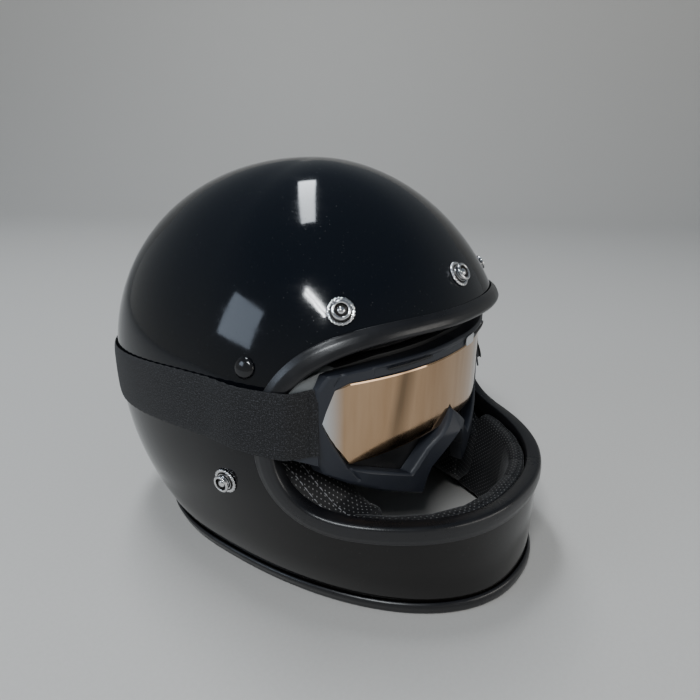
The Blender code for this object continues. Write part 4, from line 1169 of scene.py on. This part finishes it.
def make_face_foam():
    profile = [
        (0.0, 0.0, 0.0154), (-0.0004, 0.0, 0.0185), (-0.0002, 0.0, 0.0225), (0.0010, 0.0, 0.0250),
        (0.0030, 0.08, 0.0262), (0.0010, 0.35, 0.0267), (-0.0010, 0.65, 0.0267), (-0.0030, 0.92, 0.0262),
        (-0.0010, 1.0, 0.0250), (0.0002, 1.0, 0.0225), (0.0004, 1.0, 0.0185), (0.0, 1.0, 0.0154),
        (0.0, 0.66, 0.0154), (0.0, 0.33, 0.0154),
    ]
    made = ring_piece("goggle_foam_pad", FOAM_STATIONS, 0.0018, 6, profile, FACE_FOAM, None, ["goggle_foam"])


def front_strip(name, x_low, x_high, low_at, high_at, depth, finish, columns, stands_for, ridge=None):
    """Thin rounded strip on the front of the goggle frame."""
    outline = rounded([(-1.0, 0.0), (-1.0, 1.0), (1.0, 1.0), (1.0, 0.0)], 0.35)
    back = -0.0023
    sections = []
    for i in range(columns + 1):
        t = i / columns
        x = x_low + (x_high - x_low) * t
        ends = math.sqrt(max(1.0 - (2.0 * t - 1.0) ** 10, 0.0))
        low, high = low_at(t), high_at(t)
        middle, half = 0.5 * (low + high), 0.5 * (high - low) * (0.25 + 0.75 * ends)
        proud = depth * (0.35 + 0.65 * ends) + (ridge(t) if ridge else 0.0)
        sections.append([
            goggle_point(x, middle + half * across, back - proud * out) for across, out in outline
        ])
    made = skin(name, sections, finish, "goggles", False, 50, stands_for)


def make_brow_pieces():
    for name, side in SIDES:
        front_strip(
            "vent_strip_" + name, side * 0.028, side * 0.061, lambda t: 0.1520 - 0.0012 * t,
            lambda t: 0.1536 - 0.0012 * t, 0.0009, RIVET_BLACK, 160,
            ["vent_insert_" + name], lambda t: 0.00022 * math.sin(2 * math.pi * 22 * t),
        )
    front_strip("brow_tab", 0.0120, 0.0255, lambda t: 0.1480, lambda t: 0.1545, 0.0009, TAB, 40,
                ["lens_tab"])


def make_wings():
    """Thin wings of the frame that run back under the strap, one above and one below it."""
    shapes = (
        ("upper", WING_PLASTIC, [(49.0, 0.1420, 0.1528, -0.0095), (50.4, 0.1420, 0.1532, -0.0070),
                                 (52.2, 0.1420, 0.1520, -0.0045), (54.6, 0.1425, 0.1500, -0.0015),
                                 (57.4, 0.1430, 0.1468, 0.0012)]),
        ("lower", FRAME_PLASTIC, [(51.0, 0.1000, 0.1115, -0.0070), (52.0, 0.1012, 0.1112, -0.0055),
                                  (53.6, 0.1032, 0.1110, -0.0030), (56.0, 0.1054, 0.1105, 0.0000),
                                  (58.8, 0.1078, 0.1098, 0.0016)]),
    )
    for name, finish, rows in shapes:
        for side_name, side in SIDES:
            sections = []
            for i in range(33):
                place = (len(rows) - 1) * i / 32
                at = min(int(place), len(rows) - 2)
                bearing, low, high, gap = (a + (b - a) * (place - at) for a, b in zip(rows[at], rows[at + 1]))
                outline = rounded(box(low, gap - 0.0018, high, gap), 0.0006)
                sections.append([wall_point(math.radians(side * bearing), z, -out) for z, out in outline])
            made = skin("frame_wing_" + name + "_" + side_name, sections, finish, "goggles", False, 40)


def make_arms():
    """End plates under the strap's ends, with their edges eased."""
    half = 0.5 * STRAP_WIDTH - 0.0004
    for side_name, side in SIDES:
        name = "frame_arm_" + side_name
        sections = []
        for i in range(19):
            bearing = STRAP_END_BEARING + 0.3 + 3.0 * i / 18
            outer = strap_gap(bearing) - 0.0004
            inner = outer - 0.0024
            outline = rounded(box(-half, inner, half, outer), 0.0007)
            sections.append([
                wall_point(math.radians(side * bearing), STRAP_FRONT_Z + across, -gap)
                for across, gap in outline
            ])
        made = skin(name + "_moulding", sections, FRAME_PLASTIC, "goggles", False, 40, [name])
        bearing = side * (STRAP_END_BEARING + 1.8)
        place = stud_place(bearing, STRAP_FRONT_Z)
        low = strap_gap(abs(bearing)) - 0.0036
        pin = [(0.0, low), (0.0016, low), (0.0016, low + 0.0022), (0.0012, low + 0.0027), (0.0, low + 0.0028)]
        made = turned(name + "_pin", pin, STEEL, "goggles", place, 24, None, [name.replace("arm", "arm_pin")])


# Foam, linings and pads.

def sweep(name, corners, first, last, steps, radius, finish, stands_for, ribs=0.0):
    """Sweep a (depth, height) outline round the shell; ribs swells it between even seams."""
    profile = rounded(corners, radius, 5)
    middle = sum((Vector(corner) for corner in corners), Vector((0.0, 0.0))) / len(corners)
    sections = []
    for i in range(steps + 1):
        t = i / steps
        bearing = math.radians(first + (last - first) * t)
        swell = ribs * (abs(math.sin(math.pi * 9 * t)) ** 0.55 - 1.0)
        section = []
        for depth, height in profile:
            away = Vector((depth, height)) - middle
            place = middle + away * (1.0 + swell / max(away.length, 0.004))
            section.append(wall_point(bearing, place.y, place.x))
        sections.append(section)
    return skin(name, sections, finish, "helmet", False, 55, stands_for)


def make_chin_parts():
    block = [(0.0070, 0.012), (0.0086, 0.008), (0.0143, 0.008), (0.0143, 0.055), (0.0070, 0.055)]
    sweep("chin_liner_foam", block, -38, 38, 90, 0.0012, LINER_FOAM, ["chin_liner"])
    corners = [
        (0.0150, 0.008), (0.0205, 0.008), (0.0212, 0.034), (0.0208, 0.056), (0.0192, 0.0645),
        (0.0150, 0.0668), (0.0084, 0.0660), (0.0084, 0.0562), (0.0146, 0.0562), (0.0150, 0.034),
    ]
    made = sweep("chin_lining_cloth", corners, -43, 43, 260, 0.0024, LINING, ["chin_lining"], 0.0007)

    def seam(t, lift):
        bearing = math.radians(-37.2 + 74.4 * t)
        return wall_point(bearing, 0.0668 + lift, 0.0118)
    stitches = thread_line("chin_lining_stitches", seam, 46, 0.00028, WEBBING, "helmet")


def crown_puff(bearing, height):
    """Quilting of the crown pad: panels between seams that run over the crown."""
    share = min(max((height - 0.150) / (CROWN_Z - 0.150), 0.0), 1.0)
    x = shell_radius(bearing, height) * math.sin(bearing)
    panel = abs(math.sin(math.pi * (x + 0.018) / 0.036)) ** 0.5
    ring = abs(math.sin(math.pi * (share + 0.15) / 0.38)) ** 0.45
    return 0.0026 * (panel * ring - 0.4)


def make_crown_pad():
    made = bowl("crown_pad_cloth", 0.0268, 0.0330, 0.110, 190, 60, 12, CROWN_CLOTH, ["crown_pad"], crown_puff,
                hollow_point)
    cut_away(made, eyeport_cutter_rings(0.016), 50)


def pad_top_z(y):
    return 0.058 + 0.038 * smooth_step((y - PAD_FRONT_Y - 0.008) / 0.036)


def pad_inner_x(y):
    return 0.057 + 0.014 * (y - PAD_FRONT_Y) / (PAD_REAR_Y - PAD_FRONT_Y)


def cheek_sections(side, shrink):
    sections = []
    for i in range(17):
        y = PAD_FRONT_Y + shrink + (PAD_REAR_Y - PAD_FRONT_Y - 2 * shrink) * i / 16
        top = pad_top_z(y) - shrink
        inner = pad_inner_x(y) + shrink - 0.009 * (1.0 - smooth_step((y - PAD_FRONT_Y) / 0.055))
        floor = 0.016 + shrink
        heights = [floor + (top - floor) * k / 5 for k in range(6)]
        section = [Vector((side * side_wall_x(y, height, PAD_DEPTH), y, height)) for height in heights]
        for x, z in ((inner + 0.008, top), (inner + 0.002, top - 0.004), (inner, top - 0.010),
                     (inner, 0.5 * (top + floor)), (inner, floor + 0.008), (inner + 0.006, floor)):
            section.append(Vector((side * x, y, z)))
        reach = 0.008 * (1.0 - i / 16) ** 3
        for point in section:
            point.y -= reach * (0.5 + 0.5 * smooth_step((abs(point.x) - 0.056) / 0.030))
        sections.append(section)
    return sections


def roll_sections():
    sections = []
    corners = [
        (0.0085, 0.013), (0.0100, 0.0095), (0.0170, 0.0105), (0.0225, 0.0205), (0.0235, 0.040),
        (0.0195, 0.0525), (0.0085, 0.0555), (0.0085, 0.034),
    ]
    profile = rounded(corners, 0.0020, 2)
    for i in range(41):
        bearing = math.radians(112.6 + 134.8 * i / 40)
        sections.append([wall_point(bearing, height, depth) for depth, height in profile])
    return sections


def near_seam(distance):
    return 1.0 - smooth_step((distance - 0.0008) / 0.0030)


def held_share(kind, point):
    """How firmly the cloth is held at a point: by its outer face and by its seams."""
    if kind == "cheek":
        across = abs(point.x)
        wall = side_wall_x(point.y, min(max(point.z, 0.012), 0.115), PAD_DEPTH)
        held = 1.0 - smooth_step((wall - across - 0.0015) / 0.004)
        panel = 0.0430
        seam_y = (point.y - PAD_FRONT_Y - 0.022) / panel
        seam = abs(seam_y - round(seam_y)) * panel
        edge = abs(point.z - (pad_top_z(point.y) - 0.022))
        near = min(seam, edge)
        if point.z > pad_top_z(point.y) - 0.010:
            inward = wall - across
            near = min(abs(inward - offset) for offset in SEAM_OFFSETS)
        return max(held, near_seam(near))
    bearing = math.atan2(point.x, CENTRE_Y - point.y) % (2 * math.pi)
    wall = shell_point(bearing, min(max(point.z, 0.010), 0.060))
    depth = math.hypot(wall.x, wall.y - CENTRE_Y) - math.hypot(point.x, point.y - CENTRE_Y)
    held = 1.0 - smooth_step((depth - 0.0100) / 0.004)
    turn = (math.degrees(bearing) - 112.0) / 22.67
    seam = abs(turn - round(turn)) * 0.052
    return max(held, near_seam(seam))


def soft_base(name, sections, kind):
    """Even mesh of a pad with its held points in a group, ready to be puffed out."""
    base = skin(name, sections, PAD_CLOTH, None)
    remesh = base.modifiers.new("even", "REMESH")
    remesh.mode = "VOXEL"
    remesh.voxel_size = PAD_GRAIN
    apply_modifiers(base)
    group = base.vertex_groups.new(name="held")
    for vert in base.data.vertices:
        group.add([vert.index], held_share(kind, vert.co), "REPLACE")
    return base


def puff_out(pads):
    """Blow the pads up under cloth pressure, at most by the limit, then keep their shapes."""
    rest = {pad.name: [vert.co.copy() for vert in pad.data.vertices] for pad in pads}
    for pad in pads:
        cloth = pad.modifiers.new("cloth", "CLOTH")
        settings = cloth.settings
        settings.quality = 6
        settings.mass = 0.3
        settings.tension_stiffness = 12
        settings.compression_stiffness = 6
        settings.shear_stiffness = 5
        settings.bending_stiffness = 0.4
        settings.use_pressure = True
        settings.uniform_pressure_force = 4.0
        settings.vertex_group_mass = "held"
        settings.effector_weights.gravity = 0.0
        cloth.collision_settings.use_collision = False
        cloth.point_cache.frame_start = 1
        cloth.point_cache.frame_end = CLOTH_FRAMES
    for at in range(1, CLOTH_FRAMES + 1):
        scene.frame_set(at)
    graph = bpy.context.evaluated_depsgraph_get()
    for pad in pads:
        blown = bpy.data.meshes.new_from_object(pad.evaluated_get(graph))
        for vert, start in zip(blown.vertices, rest[pad.name]):
            shift = vert.co - start
            if shift.length > PUFF_LIMIT:
                vert.co = start + shift * (PUFF_LIMIT / shift.length)
        pad.modifiers.clear()
        pad.data = blown
    scene.frame_set(1)


def seam_on(pad, name, points):
    """Stitches laid on the top of a pad along a line of (x, y) places."""
    builder = bmesh.new()
    builder.from_mesh(pad.data)
    tree = BVHTree.FromBMesh(builder)
    builder.free()
    line = []
    for x, y in points:
        struck = tree.ray_cast(Vector((x, y, 0.14)), Vector((0.0, 0.0, -1.0)))[0]
        if struck:
            line.append(struck)

    def along(t, lift):
        place = min(t, 0.9999) * (len(line) - 1)
        at = int(place)
        return line[at].lerp(line[at + 1], place - at) + Vector((0.0, 0.0, 0.00015 + lift))
    made = thread_line(name, along, 44, 0.00036, SEAM_THREAD, "helmet")


def finish_pad(pad, stands_for):
    """One round of subdivision on the puffed pad."""
    rounder = pad.modifiers.new("rounder", "SUBSURF")
    rounder.levels = 1
    rounder.render_levels = 1
    apply_modifiers(pad)
    pad.vertex_groups.clear()
    mesh = pad.data
    mesh.shade_smooth()
    mesh.materials.clear()
    mesh.materials.append(PAD_CLOTH)
    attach(pad, "helmet")
    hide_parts(stands_for)


def make_soft_parts():
    pads = [soft_base("cheek_cushion_" + name, cheek_sections(side, 0.0020), "cheek") for name, side in SIDES]
    pads.append(soft_base("neck_roll_cushion", roll_sections(), "roll"))
    puff_out(pads)
    for pad, node_name in zip(pads, ("cheek_pad_right", "cheek_pad_left", "neck_roll")):
        finish_pad(pad, node_name)
    for pad, (name, side) in zip(pads, SIDES):
        for k, inward in enumerate(SEAM_OFFSETS):
            ys = [PAD_FRONT_Y + 0.004 + (PAD_REAR_Y - PAD_FRONT_Y - 0.012) * i / 60 for i in range(61)]
            points = [(side * (side_wall_x(y, pad_top_z(y), PAD_DEPTH) - inward), y) for y in ys]
            seam_on(pad, "pad_seam_" + name + "_" + str(k), points)


# Chin strap.

def ribbon(name, outline, half_width, side, body, stands_for):
    """Web along an (x, z) outline, eased at its corners and thinned at its edges."""
    line = [Vector(point) for point in outline]
    fine = []
    for near, far in zip(line, line[1:]):
        steps = max(int((far - near).length / 0.0009), 1)
        fine += [near.lerp(far, k / steps) for k in range(steps)]
    fine.append(line[-1])
    for _ in range(4):
        inner = [(fine[i - 1] + 2 * fine[i] + fine[i + 1]) / 4 for i in range(1, len(fine) - 1)]
        fine = [fine[0]] + inner + [fine[-1]]
    levels = [math.sin(math.pi / 2 * k / 6) for k in range(-6, 7)]
    sections = []
    for i, place in enumerate(fine):
        run = (fine[min(i + 1, len(fine) - 1)] - fine[max(i - 1, 0)]).normalized()
        out = Vector((run.y, -run.x)) * 0.5 * WEB_THICKNESS
        section = []
        for face, ordered in ((1, levels), (-1, levels[::-1])):
            for level in ordered:
                thin = 0.35 + 0.65 * (1.0 - abs(level) ** 8)
                point = place + out * face * thin
                section.append(Vector((side * point.x, WEB_Y + level * half_width, point.y)))
        sections.append(section)
    made = skin(name, sections, WEBBING, body, False, 60, stands_for)


def make_chin_strap():
    half = 0.5 * WEB_WIDTH
    inner = pad_inner_x(WEB_Y)
    root = [(side_wall_x(WEB_Y, height, 0.0084), height) for height in (0.143, 0.130, 0.115, 0.104)]
    root.append((root[-1][0] - 0.0012, 0.1004))
    root.append((root[-2][0] - 0.0050, 0.0990))
    root.append((inner - 0.0010, 0.0990))
    for name, side in SIDES:
        ribbon("web_root_" + name, root, half, side, "helmet", ["chin_strap_root_" + name])
    x, top = inner - 0.0030, 0.0960
    foot = top - 0.064
    loop = [(x, top), (x, foot + 0.004)]
    for i in range(25):
        angle = math.pi * 0.5 + 2 * math.pi * 0.84 * i / 24
        loop.append((x + LOOP_RADIUS * (math.sin(angle) - 1.0), foot + LOOP_RADIUS * math.cos(angle)))
    ribbon("web_hanging_left", loop, half, 1, "strap_left", ["chin_strap_left"])
    fold = [(x, top), (x, foot)]
    for i in range(1, 12):
        angle = math.pi * i / 12
        fold.append((x + FOLD_RADIUS * (math.cos(angle) - 1.0), foot - FOLD_RADIUS * math.sin(angle)))
    fold += [(x - 2 * FOLD_RADIUS, foot), (x - 2 * FOLD_RADIUS, top - 0.022)]
    ribbon("web_hanging_right", fold, half, -1, "strap_right", ["chin_strap_right"])
    centre = x - LOOP_RADIUS
    for name, shift, half_bar, drop in (("outer", 0.0012, half + 0.0056, 0.0215),
                                        ("inner", -0.0012, half + 0.0018, 0.0165)):
        make_d_ring(name, Vector((centre + shift, WEB_Y, foot)), half_bar, drop)
    cap = [
        (0.0, 0.0), (0.0056, 0.0), (0.0060, 0.0003), (0.0060, 0.0010), (0.0055, 0.0015), (0.0047, 0.0020),
        (0.0034, 0.0024), (0.0018, 0.0026), (0.0, 0.0026),
    ]
    place = Matrix.Translation((2 * FOLD_RADIUS + 0.5 * WEB_THICKNESS + 0.0003 - x, WEB_Y, top - 0.0340))
    made = turned("keeper_snap", cap, RIVET_BLACK, "strap_right",
                  place @ Matrix.Rotation(math.radians(90), 4, "Y"), 48, None, ["strap_keeper"], 60)


def make_d_ring(name, centre, half_bar, drop):
    corners = [Vector((0.0, -half_bar, 0.0)), Vector((0.0, half_bar, 0.0))]
    for i in range(1, 40):
        angle = math.pi * i / 40
        corners.append(Vector((0.0, half_bar * math.cos(angle), -drop * math.sin(angle) ** 0.8)))
    path = eased(resample(corners, 150), 3)
    across = Vector((1.0, 0.0, 0.0))
    sections = []
    for i, point in enumerate(path):
        run = (path[(i + 1) % len(path)] - path[i - 1]).normalized()
        side = run.cross(across).normalized()
        angles = [2 * math.pi * k / 14 for k in range(14)]
        sections.append([
            centre + point + WIRE_RADIUS * (math.cos(angle) * across + math.sin(angle) * side)
            for angle in angles
        ])
    made = skin("d_ring_wire_" + name, sections, STEEL, "ring_" + name, True, None, ["d_ring_" + name])


# CAD nodes that stay in view, floor, light and camera.

def dress_kept_nodes():
    """Finishes for the CAD nodes that are shown as they are."""
    steel = ["strap_hanger_left", "strap_hanger_right"] + ["snap_back_" + spot for spot in SNAPS]
    for name in ["impact_liner"] + steel:
        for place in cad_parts[name].material_slots:
            place.link = "OBJECT"
            place.material = STEEL if name in steel else LINER_FOAM


def floor_finish():
    made, tree, shader = new_finish("floor_paper", (0.60, 0.58, 0.55), 0.6)
    grain = noise(tree, object_coords(tree), 380.0, 4.0)
    feed(shader, "Base Color", mix_colour(tree, grain, (0.57, 0.55, 0.52), (0.63, 0.61, 0.58)))
    bump(tree, shader, grain, 0.00003)
    return made


def make_floor():
    """Pale floor that sweeps up behind the helmet."""
    verts, faces = [], []
    rows, columns = 40, 12
    heading = Vector((math.sin(math.radians(53)), math.cos(math.radians(53)), 0.0))
    across = Vector((heading.y, -heading.x, 0.0))
    for i in range(rows + 1):
        run = -FLOOR_FLAT + 5.0 * i / rows
        bend = max(run - FLOOR_FLAT, 0.0)
        angle = min(bend / FLOOR_CURVE, math.pi / 2)
        ahead = min(run, FLOOR_FLAT) + FLOOR_CURVE * math.sin(angle)
        rise = FLOOR_CURVE * (1.0 - math.cos(angle)) + max(bend - FLOOR_CURVE * math.pi / 2, 0.0)
        for k in range(columns + 1):
            place = heading * ahead + across * (-FLOOR_REACH + 2 * FLOOR_REACH * k / columns)
            verts.append((place.x, place.y, rise - 0.0002))
    row = range(columns + 1)
    for i in range(rows):
        start = i * len(row)
        faces += quads([start + k for k in row], [start + len(row) + k for k in row], False)
    mesh = bpy.data.meshes.new("floor")
    mesh.from_pydata(verts, [], faces)
    mesh.shade_smooth()
    mesh.materials.append(floor_finish())
    floor = bpy.data.objects.new("floor", mesh)
    scene.collection.objects.link(floor)


def soft_light(name, place, target, width, height, power, tint=(1.0, 1.0, 1.0), along=None):
    """Area light that faces a target, its width running along a direction."""
    data = bpy.data.lights.new(name, "AREA")
    data.shape = "RECTANGLE"
    data.size, data.size_y = width, height
    data.energy = power
    data.color = tint
    lamp = bpy.data.objects.new(name, data)
    facing = (Vector(place) - Vector(target)).normalized()
    across = Vector(along or (-facing.y, facing.x, 0.0))
    across = (across - facing * across.dot(facing)).normalized()
    lamp.matrix_world = placed(place, across, facing.cross(across), facing)
    scene.collection.objects.link(lamp)


def light_scene():
    world = bpy.data.worlds.new("studio")
    world.use_nodes = True
    tree = world.node_tree
    upward = axes_of(tree, node(tree, "ShaderNodeTexCoord").outputs["Generated"])[2]
    sky = mix_colour(tree, remap(tree, upward, 0.0, 0.75, 0.0, 1.0), (0.62, 0.64, 0.63), (0.24, 0.28, 0.33))
    tree.links.new(sky, tree.nodes["Background"].inputs["Color"])
    tree.nodes["Background"].inputs["Strength"].default_value = 0.55
    scene.world = world
    middle = (0.0, -0.03, 0.13)
    tube_run = (-0.02, -0.29, -0.12)
    for i, shift in enumerate((-0.05, 0.05)):
        soft_light("tube_" + str(i), (-1.52 + 0.3 * shift, -0.61, 1.73 + shift), (-0.09, -0.07, 0.19), 0.68,
                   0.045, 13.0, (0.93, 0.97, 1.0), tube_run)
    soft_light("window", (-2.05, 1.00, 1.10), middle, 0.9, 0.8, 10.0, (0.70, 0.82, 1.0))
    soft_light("ceiling", (0.20, 0.75, 2.20), middle, 1.30, 0.30, 26.0, (0.88, 0.94, 1.0),
               (0.45, 0.28, -0.17))
    soft_light("fill", (0.55, -2.40, 0.62), middle, 1.8, 0.8, 14.0, (1.0, 0.97, 0.92))


def add_camera():
    data = bpy.data.cameras.new("camera")
    data.sensor_width = 36.0
    data.lens = data.sensor_width * PHOTO_FOCAL / PHOTO_WIDTH
    back = Vector((-0.7505, -0.5655, 0.3420)).normalized()
    level = Vector((0.6018, -0.7986, 0.0)).normalized()
    upward = back.cross(level).normalized()
    roll = math.radians(1.0)
    right = level * math.cos(roll) + upward * math.sin(roll)
    camera = bpy.data.objects.new("camera", data)
    camera.matrix_world = placed((-0.3274, -0.2721, 0.2782), right, back.cross(right), back)
    scene.collection.objects.link(camera)
    scene.camera = camera


make_shell()
make_eyeport_trim()
make_base_trim()
make_snaps()
make_rivets()
make_strap()
make_strap_ends()
make_slider()
make_frame()
make_inner_frame()
make_lens()
make_face_foam()
make_brow_pieces()
make_wings()
make_arms()
make_chin_parts()
make_crown_pad()
make_soft_parts()
make_chin_strap()
dress_kept_nodes()
make_floor()
light_scene()
add_camera()

bpy.context.view_layer.update()
